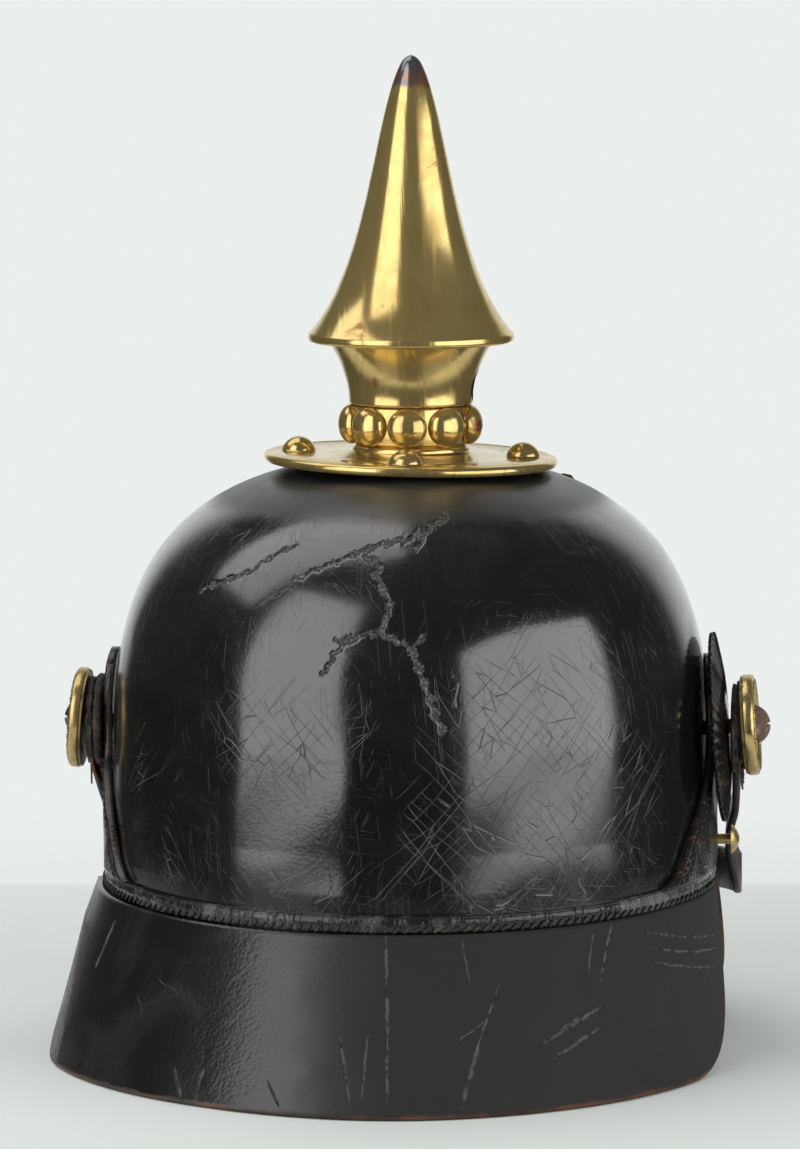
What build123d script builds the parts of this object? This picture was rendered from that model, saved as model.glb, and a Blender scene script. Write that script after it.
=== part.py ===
from build123d import *
import os
from math import atan2, cos, degrees, radians, sin, sqrt, tan

os.makedirs("parts", exist_ok=True)

# Leather helmet with a brass spike. The origin is on the spike's axis at the table, +Y is the
# wearer's front, +X the wearer's right. Lengths are in millimetres, angles in degrees.

# Shell: straight oval wall that rounds over to the crown
shell_half_width = 91.4
shell_half_length = 108.0
shell_leather = 3.0
brim_height = 47.0
wall_top = 100.0
crown_height = 180.4
shoulder_lift_share = 0.319
shoulder_width_share = 0.929
shoulder_height_share = 0.779
crown_width_share = 0.618
vent_radius = 9.0

# Clearances between pieces that touch, and the overrun of cuts
seat_gap = 0.2
turn_gap = 0.3
hole_gap = 0.3
strap_hole_gap = 0.9
thread_gap = 0.1
overrun = 5.0

# Visors: flared leather aprons that stand on the table
visor_leather = 3.1
visor_top = 49.3
rear_visor_half_width = 104.0
rear_visor_half_length = 130.0
rear_visor_shift = 13.0
rear_end = 6.0
rear_end_run = 39.0
rear_corner_radius = 56.0
front_visor_half_width = 100.0
front_visor_half_length = 130.0
front_visor_shift = 13.0
front_end = 5.0
front_end_run = 46.0
front_corner_radius = 100.0
visor_slope_share = 1.16

# Stitched bands over the seams of the visors
band_height = 5.2
band_leather = 2.6

# Side patches: bell-shaped reinforcements behind the bosses
patch_leather = 2.8
patch_top = 120.0
patch_tongue_half_width = 11.0
patch_foot_half_width = 53.0
patch_waist_share = 0.55
patch_knee_share = 0.24
patch_knee_width_share = 0.6
patch_foot_slope = 0.3

# Sweatband and the tongues of the liner
sweatband_leather = 1.8
sweatband_top = 84.0
liner_leather = 1.4
liner_foot = 66.0
liner_wall_top = 76.0
liner_crown = 152.0
tongue_count = 10
tongue_slot_width = 12.5
tongue_slot_foot = 86.0
liner_opening_radius = 30.0
lace_hole_radius = 2.2
lace_hole_ring_radius = 37.0

# Base disc with a rolled rim, and its domed studs
disc_radius = 45.0
disc_sheet = 1.0
disc_top = 180.6
disc_rim_radius = 1.5
disc_rise = 1.3
disc_flat_radius = 26.0
disc_hole_radius = 10.0
disc_turn = 2.4
stud_ring_radius = 34.4
stud_radius = 5.25
stud_height = 4.5
stud_shank_radius = 1.6
stud_leg_length = 6.5
stud_leg_width = 2.4
stud_leg_thickness = 0.8
stud_washer_radius = 6.0
stud_washer_thickness = 0.8
stud_washer_drop = 9.6

# Neck under the spike
neck_wall = 1.0
neck_foot_radius = 18.1
neck_foot_height = 1.8
neck_stem_radius = 16.8
neck_waist_radius = 19.0
neck_waist_height = 196.6
neck_mouth_radius = 25.2
neck_flange_radius = 29.0
neck_vent_radius = 4.8
neck_vent_height = 202.0
neck_low_shares = (0.015, 0.14)
neck_high_shares = (0.47, 0.63)
neck_mouth_slope = 0.6

# Ring of pearls round the foot of the neck
pearl_count = 9
pearl_ring_radius = 18.3
pearl_half_depth = 4.1
pearl_half_height = 6.1
pearl_band = 1.0
pearl_band_share = 0.94
pearl_turn = -3.6

# Spike
spike_tip = 302.6
spike_foot = 215.1
spike_lip_radius = 31.5
spike_lip_height = 2.4
spike_lip_width = 4.5
spike_wall = 1.0
spike_tip_radius = 2.9
spike_tip_height = 2.0
spike_upper_shares = (0.362, 0.180)
spike_lower_shares = (0.408, 0.755)

# Side bosses: screw, rosette and backing plate, leaning a little inwards at the top
boss_height = 97.0
boss_lean = 4.5
boss_shank_radius = 2.2
rosette_radius = 15.5
rosette_rim_width = 2.2
rosette_floor = 1.2
rosette_step_radius = 12.0
rosette_step_height = 0.9
petal_count = 8
petal_ring_radius = 8.0
petal_half_length = 3.0
petal_half_width = 1.5
backing_radius = 15.0
backing_thickness = 0.7
left_backing_seat = 100.6
right_backing_seat = 102.4
left_rosette_thickness = 3.2
right_rosette_thickness = 3.4
left_screw_radius = 5.2
left_screw_height = 3.0
right_screw_radius = 6.3
right_screw_height = 4.2
screw_slot_width = 1.1
screw_slot_depth = 1.2
boss_washer_radius = 7.0
boss_washer_thickness = 1.0
boss_nut_flats = 9.0
boss_nut_thickness = 3.5
boss_inner_gap = 0.9

# Leather pieces on the bosses
pad_radius = 14.0
pad_leather = 2.1
cockade_radius = 29.0
cockade_rim_seat = 93.9
cockade_rise = 2.9
cockade_leather = 1.2
cockade_hub_radius = 9.5
cockade_hub_seat = 95.6
cockade_face_share = 0.5
cockade_back_share = 0.75
flute_count = 36
flute_radius = 0.9
flute_inner_radius = 15.0
flute_depth_share = 0.1
flute_length_share = 1.1

# Chinstrap: eyes on the bosses, drops at the sides and a loop over the front visor
strap_leather = 2.2
strap_width = 13.0
strap_shift = 0.9
strap_half_width = 98.0
strap_eye_radius = 13.0
strap_loop_shift = 26.0
strap_loop_height = 47.6
strap_loop_tilt = 5.15
strap_drop_forward = 29.2
strap_drop_run = 5.6
strap_drop_radius = 10.0

# Brass slides on the strap
slide_length = 9.0
slide_wall = 1.2
slide_angle = 52.0

# Small brass button low on the right side
button_forward = 4.0
button_height = 62.0
button_radius = 4.5
button_dome = 2.4
button_shank_radius = 1.6
button_standoff = 4.4

# Front plate: a plain boss between two fans of feathers
plate_gap = 0.8
plate_sheet = 1.0
plate_relief = 0.9
plate_centre = 112.0
plate_boss_radius = 14.0
plate_boss_height = 5.5
feather_half_width = 7.2
feather_relief_share = 0.8
feather_relief_reach_share = 0.92
wing_reach = 76.0
wing_first_angle = 12.0
wing_last_angle = 78.0
wing_shares = (0.70, 0.83, 0.93, 1.0, 0.93, 0.80)
tail_reach = 38.0
tail_angles = (-118.0, -104.0, -90.0, -76.0, -62.0)
post_radius = 1.6
post_height = 117.0
post_ray = 78.0
plate_nut_radius = 4.5
plate_nut_thickness = 2.4
plate_inner_gap = 2.0


def oval(outset):
    # half width and half length of the plan, outset from the shell's outer surface
    half_width = shell_half_width + outset
    return half_width, half_width * shell_half_length / shell_half_width


def shoulder_line(outset, straight_top, crown):
    # curve from the top of the straight wall over to the crown
    half_width = shell_half_width + outset
    rise = crown + outset - straight_top
    return Bezier(
        (half_width, straight_top),
        (half_width, straight_top + rise * shoulder_lift_share),
        (half_width * shoulder_width_share, straight_top + rise * shoulder_height_share),
        (half_width * crown_width_share, straight_top + rise),
        (0, straight_top + rise),
    )


def dome_layer(inner, outer, floor, straight_top=wall_top, crown=crown_height):
    # dome-shaped layer between two surfaces, given by their distance outside the shell
    inner_width = shell_half_width + inner
    outer_width = shell_half_width + outer
    with BuildPart() as layer:
        with BuildSketch(Plane.XZ):
            with BuildLine():
                shoulder_line(outer, straight_top, crown)
                Line((0, crown + outer), (0, crown + inner))
                shoulder_line(inner, straight_top, crown)
                Polyline(
                    (inner_width, straight_top),
                    (inner_width, floor),
                    (outer_width, floor),
                    (outer_width, straight_top),
                )
            make_face()
        revolve(axis=Axis.Z)
        scale(by=(1, shell_half_length / shell_half_width, 1))
    return layer.part


def outset_at(height):
    # how far the shell's surface has drawn in at a height, as a negative outset
    if height <= wall_top:
        return 0
    line = shoulder_line(0, wall_top, crown_height)
    low, high = 0, 1
    for _ in range(40):
        middle = (low + high) / 2
        if (line @ middle).Y < height:
            low = middle
        else:
            high = middle
    return (line @ low).X - shell_half_width


def wall_point(ray, height):
    # point of the shell's surface in the direction of ray, in plan
    half_width, half_length = oval(outset_at(height))
    reach = 1 / sqrt((cos(radians(ray)) / half_width) ** 2 + (sin(radians(ray)) / half_length) ** 2)
    return reach * cos(radians(ray)), reach * sin(radians(ray))


def boss_axis_direction(side):
    return (side * cos(radians(boss_lean)), 0, sin(radians(boss_lean)))


def boss_origin(side, seat):
    # point of the boss's axis that lies seat from the middle; the axis meets the wall at boss_height
    return (side * seat, 0, boss_height + (seat - shell_half_width) * tan(radians(boss_lean)))


def boss_plane(side, seat):
    # plane across the boss's axis, its normal outwards
    return Plane(origin=boss_origin(side, seat), x_dir=(0, side, 0), z_dir=boss_axis_direction(side))


def boss_profile(side, seat):
    # plane through the boss's axis: local x is the radius, local y runs outwards
    lean = radians(boss_lean)
    normal = (side * sin(lean), 0, -cos(lean))
    return Plane(origin=boss_origin(side, seat), x_dir=(0, side, 0), z_dir=normal)


def boss_axis(side, seat):
    return Axis(boss_origin(side, seat), boss_axis_direction(side))


# Shell
shell_layer = dome_layer(-shell_leather, 0, brim_height)
post_x, post_y = wall_point(post_ray, post_height)
post_turn = radians(90 - post_ray)

with BuildPart() as shell:
    add(shell_layer)
    with BuildSketch(Plane.XY.offset(liner_crown)):
        Circle(vent_radius)
        with PolarLocations(stud_ring_radius, 4, start_angle=disc_turn):
            Circle(stud_shank_radius + hole_gap)
    extrude(amount=crown_height, mode=Mode.SUBTRACT)
    for side in (-1, 1):
        with BuildSketch(boss_plane(side, shell_half_width - shell_leather - overrun)):
            Circle(boss_shank_radius + hole_gap)
        extrude(amount=shell_leather + 2 * overrun, mode=Mode.SUBTRACT)
    with BuildSketch(Plane.YZ.offset(shell_half_width - shell_leather - overrun)):
        with Locations((button_forward, button_height)):
            Circle(button_shank_radius + hole_gap)
    extrude(amount=shell_leather + 2 * overrun, mode=Mode.SUBTRACT)
    for side in (-1, 1):
        post_direction = (side * sin(post_turn), cos(post_turn), 0)
        post_foot = (
            side * (post_x - 2 * overrun * sin(post_turn)),
            post_y - 2 * overrun * cos(post_turn),
            post_height,
        )
        with BuildSketch(Plane(origin=post_foot, z_dir=post_direction)):
            Circle(post_radius + hole_gap)
        extrude(amount=4 * overrun, mode=Mode.SUBTRACT)
shell.part.label = "shell"
export_step(shell.part, "parts/shell.step")


# Visors
visor_seat = seat_gap
visor_fall_leather = visor_leather * visor_slope_share


def visor_shape(half_width, half_length, shift):
    with BuildPart() as outside:
        with BuildSketch(Plane.XY):
            with Locations((0, shift)):
                Ellipse(half_width, half_length)
        with BuildSketch(Plane.XY.offset(visor_top)):
            Ellipse(*oval(visor_seat + visor_leather))
        loft(ruled=True)
    with BuildPart() as inside:
        with BuildSketch(Plane.XY):
            with Locations((0, shift)):
                Ellipse(half_width - visor_leather, half_length - visor_fall_leather)
        with BuildSketch(Plane.XY.offset(visor_top)):
            Ellipse(*oval(visor_seat))
        loft(ruled=True)
    with BuildPart() as shape:
        add(outside.part)
        add(inside.part, mode=Mode.SUBTRACT)
    return shape.part


def visor_outline(end, end_run, corner_radius, reach, facing):
    # side view of a visor: the sloping end, the round corner and the edge on the table
    with BuildSketch(Plane.YZ) as outline:
        with BuildLine():
            FilletPolyline(
                (facing * end, visor_top),
                (facing * (end + end_run), 0),
                (facing * reach, 0),
                radius=corner_radius,
            )
            Polyline((facing * reach, 0), (facing * reach, visor_top), (facing * end, visor_top))
        make_face()
    return outline.sketch


rear_reach = rear_visor_half_length + rear_visor_shift + overrun
front_reach = front_visor_half_length + front_visor_shift + overrun
rear_shape = visor_shape(rear_visor_half_width, rear_visor_half_length, -rear_visor_shift)
front_shape = visor_shape(front_visor_half_width, front_visor_half_length, front_visor_shift)

with BuildPart() as rear_visor:
    add(rear_shape)
    extrude(
        visor_outline(rear_end, rear_end_run, rear_corner_radius, rear_reach, -1),
        amount=2 * rear_visor_half_width,
        both=True,
        mode=Mode.INTERSECT,
    )
rear_visor.part.label = "rear_visor"
export_step(rear_visor.part, "parts/rear_visor.step")

with BuildPart() as front_visor:
    add(front_shape)
    extrude(
        visor_outline(front_end, front_end_run, front_corner_radius, front_reach, 1),
        amount=2 * front_visor_half_width,
        both=True,
        mode=Mode.INTERSECT,
    )
front_visor.part.label = "front_visor"
export_step(front_visor.part, "parts/front_visor.step")

# Bands
band_bottom = visor_top + seat_gap
band_width, band_length = oval(seat_gap + band_leather)
for name, facing, end in (("rear_visor_band", -1, rear_end), ("front_visor_band", 1, front_end)):
    with BuildPart() as band:
        with BuildSketch(Plane.XY.offset(band_bottom)):
            Ellipse(band_width, band_length)
            Ellipse(*oval(seat_gap), mode=Mode.SUBTRACT)
            with Locations((0, facing * (end + band_length))):
                Rectangle(3 * band_width, 2 * band_length, mode=Mode.INTERSECT)
        extrude(amount=band_height)
    band.part.label = name
    export_step(band.part, f"parts/{name}.step")

# Side patches
patch_foot = band_bottom + band_height + seat_gap
patch_rise = patch_top - patch_foot
patch_layer = dome_layer(seat_gap, seat_gap + patch_leather, brim_height)
for name, side in (("left_side_patch", -1), ("right_side_patch", 1)):
    with BuildPart() as patch:
        add(patch_layer)
        with BuildSketch(Plane.YZ):
            with BuildLine():
                foot = (patch_foot_half_width, patch_foot)
                knee_width = patch_foot_half_width * patch_knee_width_share
                knee = (knee_width, patch_foot + patch_rise * patch_knee_share)
                waist = (patch_tongue_half_width, patch_foot + patch_rise * patch_waist_share)
                shoulder = (patch_tongue_half_width, patch_top - patch_tongue_half_width)
                Spline(foot, knee, waist, shoulder, tangents=((-1, patch_foot_slope), (0, 1)))
                RadiusArc(shoulder, (-shoulder[0], shoulder[1]), -patch_tongue_half_width)
                Spline(
                    (-shoulder[0], shoulder[1]),
                    (-waist[0], waist[1]),
                    (-knee[0], knee[1]),
                    (-foot[0], foot[1]),
                    tangents=((0, -1), (-1, -patch_foot_slope)),
                )
                Line((-foot[0], foot[1]), foot)
            make_face()
        extrude(amount=side * 2 * shell_half_width, mode=Mode.INTERSECT)
        with BuildSketch(boss_plane(side, shell_half_width - overrun)):
            Circle(boss_shank_radius + hole_gap)
        extrude(amount=3 * overrun, mode=Mode.SUBTRACT)
        if side > 0:
            with BuildSketch(Plane.YZ.offset(shell_half_width - overrun)):
                with Locations((button_forward, button_height)):
                    Circle(button_shank_radius + hole_gap)
            extrude(amount=3 * overrun, mode=Mode.SUBTRACT)
    patch.part.label = name
    export_step(patch.part, f"parts/{name}.step")

# Sweatband
sweatband_outset = shell_leather + seat_gap
with BuildPart() as sweatband:
    with BuildSketch(Plane.XY.offset(brim_height)):
        Ellipse(*oval(-sweatband_outset))
        Ellipse(*oval(-sweatband_outset - sweatband_leather), mode=Mode.SUBTRACT)
    extrude(amount=sweatband_top - brim_height)
sweatband.part.label = "sweatband"
export_step(sweatband.part, "parts/sweatband.step")

# Liner: tongues cut into one skirt, with a lace hole in each tip
liner_outset = sweatband_outset + sweatband_leather + seat_gap
liner_inner = -liner_outset - liner_leather
liner_layer = dome_layer(liner_inner, -liner_outset, liner_foot, liner_wall_top, liner_crown)
slot_length = shell_half_length
tongue_step = 360 / tongue_count
with BuildPart() as liner:
    add(liner_layer)
    with BuildSketch(Plane.XY.offset(tongue_slot_foot)):
        with PolarLocations(liner_opening_radius / 2 + slot_length / 2, tongue_count):
            Rectangle(slot_length, tongue_slot_width)
        Circle(liner_opening_radius)
    extrude(amount=crown_height, mode=Mode.SUBTRACT)
    with BuildSketch(Plane.XY.offset(tongue_slot_foot)):
        with PolarLocations(lace_hole_ring_radius, tongue_count, start_angle=tongue_step / 2):
            Circle(lace_hole_radius)
    extrude(amount=crown_height, mode=Mode.SUBTRACT)
liner.part.label = "liner"
export_step(liner.part, "parts/liner.step")

# Base disc: flat ring on the crown, raised round the neck, with a rolled rim
rim_centre = disc_radius - disc_rim_radius
rim_height = disc_top - disc_rim_radius
with BuildPart() as base_disc:
    with BuildSketch(Plane.XZ):
        with BuildLine():
            Polyline(
                (disc_hole_radius, disc_top + disc_rise),
                (neck_foot_radius, disc_top + disc_rise),
                (disc_flat_radius, disc_top),
                (rim_centre, disc_top),
                (rim_centre, disc_top - disc_sheet),
                (disc_flat_radius, disc_top - disc_sheet),
                (neck_foot_radius, disc_top + disc_rise - disc_sheet),
                (disc_hole_radius, disc_top + disc_rise - disc_sheet),
                close=True,
            )
        make_face()
        with Locations((rim_centre, rim_height)):
            Circle(disc_rim_radius)
    revolve(axis=Axis.Z)
    with BuildSketch(Plane.XY.offset(disc_top - disc_sheet - overrun)):
        with PolarLocations(stud_ring_radius, 4, start_angle=disc_turn):
            Circle(stud_shank_radius + hole_gap)
    extrude(amount=disc_sheet + 2 * overrun, mode=Mode.SUBTRACT)
base_disc.part.label = "base_disc"
export_step(base_disc.part, "parts/base_disc.step")

# Studs: domed heads on split shanks whose legs are bent out inside the shell
washer_top = disc_top - stud_washer_drop
stud_end = washer_top - stud_washer_thickness - seat_gap
stud_dome_radius = (stud_radius**2 + stud_height**2) / (2 * stud_height)
with BuildPart() as base_studs:
    for turn in range(4):
        angle = disc_turn + turn * 90
        centre = (stud_ring_radius * cos(radians(angle)), stud_ring_radius * sin(radians(angle)))
        radial_plane = Plane(
            origin=(centre[0], centre[1], disc_top),
            x_dir=(cos(radians(angle)), sin(radians(angle)), 0),
            z_dir=(sin(radians(angle)), -cos(radians(angle)), 0),
        )
        with BuildSketch(radial_plane):
            with BuildLine():
                Line((0, stud_height), (0, 0))
                Line((0, 0), (stud_radius, 0))
                RadiusArc((stud_radius, 0), (0, stud_height), -stud_dome_radius)
            make_face()
        revolve(axis=Axis((centre[0], centre[1], 0), (0, 0, 1)))
        with BuildSketch(Plane(origin=(centre[0], centre[1], disc_top))):
            Circle(stud_shank_radius)
        extrude(amount=stud_end - disc_top - stud_leg_thickness)
        sideways = (-sin(radians(angle)), cos(radians(angle)), 0)
        with BuildSketch(Plane(origin=(centre[0], centre[1], stud_end), x_dir=sideways)):
            Rectangle(2 * stud_leg_length, stud_leg_width)
        extrude(amount=-stud_leg_thickness)
base_studs.part.label = "base_studs"
export_step(base_studs.part, "parts/base_studs.step")

with BuildPart() as stud_washers:
    with BuildSketch(Plane.XY.offset(washer_top)):
        with PolarLocations(stud_ring_radius, 4, start_angle=disc_turn):
            Circle(stud_washer_radius)
        with PolarLocations(stud_ring_radius, 4, start_angle=disc_turn):
            Circle(stud_shank_radius + hole_gap, mode=Mode.SUBTRACT)
    extrude(amount=-stud_washer_thickness)
stud_washers.part.label = "stud_washers"
export_step(stud_washers.part, "parts/stud_washers.step")

# Neck: foot, straight stem behind the pearls, waist and trumpet mouth under the spike
neck_foot = disc_top + disc_rise
stem_top = neck_waist_height - seat_gap
flange_seat = spike_foot + spike_wall + seat_gap
mouth_height = spike_foot
mouth_rise = mouth_height - neck_waist_height


def neck_point(shares, wall):
    # point of the trumpet curve, as shares of the way from the waist to the mouth
    across, up = shares
    mouth_spread = neck_mouth_radius - neck_waist_radius
    return (neck_waist_radius - wall + mouth_spread * across, neck_waist_height + mouth_rise * up)


with BuildPart() as spike_neck:
    with BuildSketch(Plane.XZ):
        with BuildLine():
            Polyline(
                (neck_stem_radius - neck_wall, neck_foot),
                (neck_foot_radius, neck_foot),
                (neck_stem_radius + neck_wall / 2, neck_foot + neck_foot_height),
                (neck_stem_radius, neck_foot + neck_foot_height),
                (neck_stem_radius, stem_top),
                (neck_waist_radius, neck_waist_height),
            )
            Spline(
                (neck_waist_radius, neck_waist_height),
                neck_point(neck_low_shares, 0),
                neck_point(neck_high_shares, 0),
                (neck_mouth_radius, mouth_height),
                tangents=((0, 1), (neck_mouth_slope, 1)),
            )
            Polyline(
                (neck_mouth_radius, mouth_height),
                (neck_mouth_radius, flange_seat),
                (neck_flange_radius, flange_seat),
                (neck_flange_radius, flange_seat + neck_wall),
                (neck_mouth_radius - neck_wall, flange_seat + neck_wall),
                (neck_mouth_radius - neck_wall, mouth_height),
            )
            Spline(
                (neck_mouth_radius - neck_wall, mouth_height),
                neck_point(neck_high_shares, neck_wall),
                neck_point(neck_low_shares, neck_wall),
                (neck_waist_radius - neck_wall, neck_waist_height + neck_wall),
                tangents=((-neck_mouth_slope, -1), (0, -1)),
            )
            Polyline(
                (neck_waist_radius - neck_wall, neck_waist_height + neck_wall),
                (neck_stem_radius - neck_wall, stem_top),
                (neck_stem_radius - neck_wall, neck_foot),
            )
        make_face()
    revolve(axis=Axis.Z)
    with BuildSketch(Plane.YZ.offset(-2 * neck_waist_radius)):
        with Locations((0, neck_vent_height)):
            Circle(neck_vent_radius)
    extrude(amount=4 * neck_waist_radius, mode=Mode.SUBTRACT)
spike_neck.part.label = "spike_neck"
export_step(spike_neck.part, "parts/spike_neck.step")

# Pearl ring
pearl_height = neck_foot + neck_foot_height + seat_gap + pearl_half_height
band_half_height = pearl_half_height * pearl_band_share
with BuildPart() as pearl_ring:
    with BuildSketch(Plane.XY.offset(pearl_height - band_half_height)):
        Circle(neck_stem_radius + seat_gap + pearl_band)
    extrude(amount=2 * band_half_height)
    for count in range(pearl_count):
        turn = radians(pearl_turn - 90 + count * 360 / pearl_count)
        centre = (pearl_ring_radius * cos(turn), pearl_ring_radius * sin(turn), pearl_height)
        outwards = (cos(turn), sin(turn), 0)
        with BuildSketch(Plane(origin=centre, x_dir=outwards, z_dir=(sin(turn), -cos(turn), 0))):
            with BuildLine():
                EllipticalCenterArc((0, 0), pearl_half_depth, pearl_half_height, start_angle=0, arc_size=180)
                Line((-pearl_half_depth, 0), (pearl_half_depth, 0))
            make_face()
        revolve(axis=Axis(centre, outwards))
    with BuildSketch(Plane.XY.offset(pearl_height - 2 * pearl_half_height)):
        Circle(neck_stem_radius + seat_gap)
    extrude(amount=4 * pearl_half_height, mode=Mode.SUBTRACT)
pearl_ring.part.label = "pearl_ring"
export_step(pearl_ring.part, "parts/pearl_ring.step")

# Spike: hollow concave cone with a turned-under lip
lip_top = spike_foot + spike_lip_height
cone_top = spike_tip - spike_tip_height
cone_rise = cone_top - lip_top
tip_curve_radius = (spike_tip_radius**2 + spike_tip_height**2) / (2 * spike_tip_height)


def cone_point(shares, wall):
    # control point of the cone's curve, as shares of the lip's radius and of the cone's rise
    across, down = shares
    return (spike_lip_radius * across - wall, cone_top - cone_rise * down)


with BuildPart() as spike_cone:
    with BuildSketch(Plane.XZ):
        with BuildLine():
            Line((0, cone_top - spike_wall), (0, spike_tip))
            RadiusArc((0, spike_tip), (spike_tip_radius, cone_top), tip_curve_radius)
            Bezier(
                (spike_tip_radius, cone_top),
                cone_point(spike_upper_shares, 0),
                cone_point(spike_lower_shares, 0),
                (spike_lip_radius, lip_top),
            )
            Polyline(
                (spike_lip_radius, lip_top),
                (spike_lip_radius, spike_foot),
                (spike_lip_radius - spike_lip_width, spike_foot),
                (spike_lip_radius - spike_lip_width, spike_foot + spike_wall),
                (spike_lip_radius - spike_wall, spike_foot + spike_wall),
                (spike_lip_radius - spike_wall, lip_top),
            )
            Bezier(
                (spike_lip_radius - spike_wall, lip_top),
                cone_point(spike_lower_shares, spike_wall),
                cone_point(spike_upper_shares, spike_wall),
                (spike_tip_radius - spike_wall, cone_top - spike_wall),
            )
            Line((spike_tip_radius - spike_wall, cone_top - spike_wall), (0, cone_top - spike_wall))
        make_face()
    revolve(axis=Axis.Z)
spike_cone.part.label = "spike_cone"
export_step(spike_cone.part, "parts/spike_cone.step")

# Bosses
nut_seat = shell_half_width - shell_leather - boss_inner_gap
for name, side, seat, rosette_thickness, screw_radius, screw_height in (
    ("left", -1, left_backing_seat, left_rosette_thickness, left_screw_radius, left_screw_height),
    ("right", 1, right_backing_seat, right_rosette_thickness, right_screw_radius, right_screw_height),
):
    with BuildPart() as backing:
        with BuildSketch(boss_plane(side, seat)):
            Circle(backing_radius)
            Circle(boss_shank_radius + hole_gap, mode=Mode.SUBTRACT)
        extrude(amount=backing_thickness)
    backing.part.label = f"{name}_backing_plate"
    export_step(backing.part, f"parts/{name}_backing_plate.step")

    rosette_foot = boss_plane(side, seat).offset(backing_thickness)
    with BuildPart() as rosette:
        with BuildSketch(boss_profile(side, seat)):
            with BuildLine():
                base = backing_thickness
                top = backing_thickness + rosette_thickness
                floor = backing_thickness + rosette_floor
                rim_inner = rosette_radius - rosette_rim_width
                Polyline(
                    (boss_shank_radius + hole_gap, base),
                    (rosette_radius, base),
                    (rosette_radius, top - rosette_rim_width / 2),
                )
                ThreePointArc(
                    (rosette_radius, top - rosette_rim_width / 2),
                    (rosette_radius - rosette_rim_width / 2, top),
                    (rim_inner, top - rosette_rim_width / 2),
                )
                Polyline(
                    (rim_inner, top - rosette_rim_width / 2),
                    (rim_inner, floor + rosette_step_height),
                    (rosette_step_radius, floor + rosette_step_height),
                    (rosette_step_radius, floor),
                    (boss_shank_radius + hole_gap, floor),
                    (boss_shank_radius + hole_gap, base),
                )
            make_face()
        revolve(axis=boss_axis(side, seat))
        petal_floor = rosette_foot.offset(rosette_floor)
        for count in range(petal_count):
            turn = radians(count * 360 / petal_count)
            outwards = petal_floor.x_dir * cos(turn) + petal_floor.y_dir * sin(turn)
            centre = petal_floor.origin + outwards * petal_ring_radius
            with BuildSketch(Plane(origin=centre, x_dir=outwards, z_dir=petal_floor.z_dir.cross(outwards))):
                with BuildLine():
                    EllipticalCenterArc(
                        (0, 0), petal_half_length, petal_half_width, start_angle=0, arc_size=180
                    )
                    Line((-petal_half_length, 0), (petal_half_length, 0))
                make_face()
            revolve(axis=Axis(centre, outwards))
        with BuildSketch(rosette_foot):
            Circle(2 * rosette_radius)
        extrude(amount=-2 * rosette_thickness, mode=Mode.SUBTRACT)
    rosette.part.label = f"{name}_rosette"
    export_step(rosette.part, f"parts/{name}_rosette.step")

    head_seat = backing_thickness + rosette_floor + seat_gap
    head_top = backing_thickness + rosette_thickness + screw_height
    head_rise = head_top - head_seat
    shank_end = (nut_seat - boss_washer_thickness - boss_nut_thickness - seat) / cos(radians(boss_lean))
    with BuildPart() as boss_screw:
        with BuildSketch(boss_profile(side, seat)):
            with BuildLine():
                Polyline(
                    (0, head_top),
                    (0, shank_end),
                    (boss_shank_radius, shank_end),
                    (boss_shank_radius, head_seat),
                    (screw_radius, head_seat),
                )
                EllipticalCenterArc((0, head_seat), screw_radius, head_rise, start_angle=0, arc_size=90)
            make_face()
        revolve(axis=boss_axis(side, seat))
        with BuildSketch(boss_plane(side, seat).offset(head_top - screw_slot_depth)):
            Rectangle(2 * screw_radius, screw_slot_width)
        extrude(amount=2 * screw_slot_depth, mode=Mode.SUBTRACT)
    boss_screw.part.label = f"{name}_boss_screw"
    export_step(boss_screw.part, f"parts/{name}_boss_screw.step")

with BuildPart() as boss_washers:
    for side in (-1, 1):
        with BuildSketch(boss_plane(side, nut_seat)):
            Circle(boss_washer_radius)
            Circle(boss_shank_radius + hole_gap, mode=Mode.SUBTRACT)
        extrude(amount=-boss_washer_thickness)
boss_washers.part.label = "boss_washers"
export_step(boss_washers.part, "parts/boss_washers.step")

with BuildPart() as boss_nuts:
    for side in (-1, 1):
        with BuildSketch(boss_plane(side, nut_seat).offset(-boss_washer_thickness)):
            RegularPolygon(boss_nut_flats / 2, 6, major_radius=False)
            Circle(boss_shank_radius + thread_gap, mode=Mode.SUBTRACT)
        extrude(amount=-boss_nut_thickness)
boss_nuts.part.label = "boss_nuts"
export_step(boss_nuts.part, "parts/boss_nuts.step")

# Leather pad behind the strap's left eye
patch_face = shell_half_width + seat_gap + patch_leather
pad_seat = patch_face + seat_gap
with BuildPart() as left_leather_pad:
    with BuildSketch(Plane.YZ.offset(-pad_seat)):
        with Locations((0, boss_height)):
            Circle(pad_radius)
            Circle(boss_shank_radius + strap_hole_gap, mode=Mode.SUBTRACT)
    extrude(amount=-pad_leather)
left_leather_pad.part.label = "left_leather_pad"
export_step(left_leather_pad.part, "parts/left_leather_pad.step")

# Cockade: dished leather disc with flutes round its rim
def cockade_height(share):
    # height of the cockade's back over its rim, at a share of its radius
    return cockade_rise * (1 - share**2)


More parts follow.
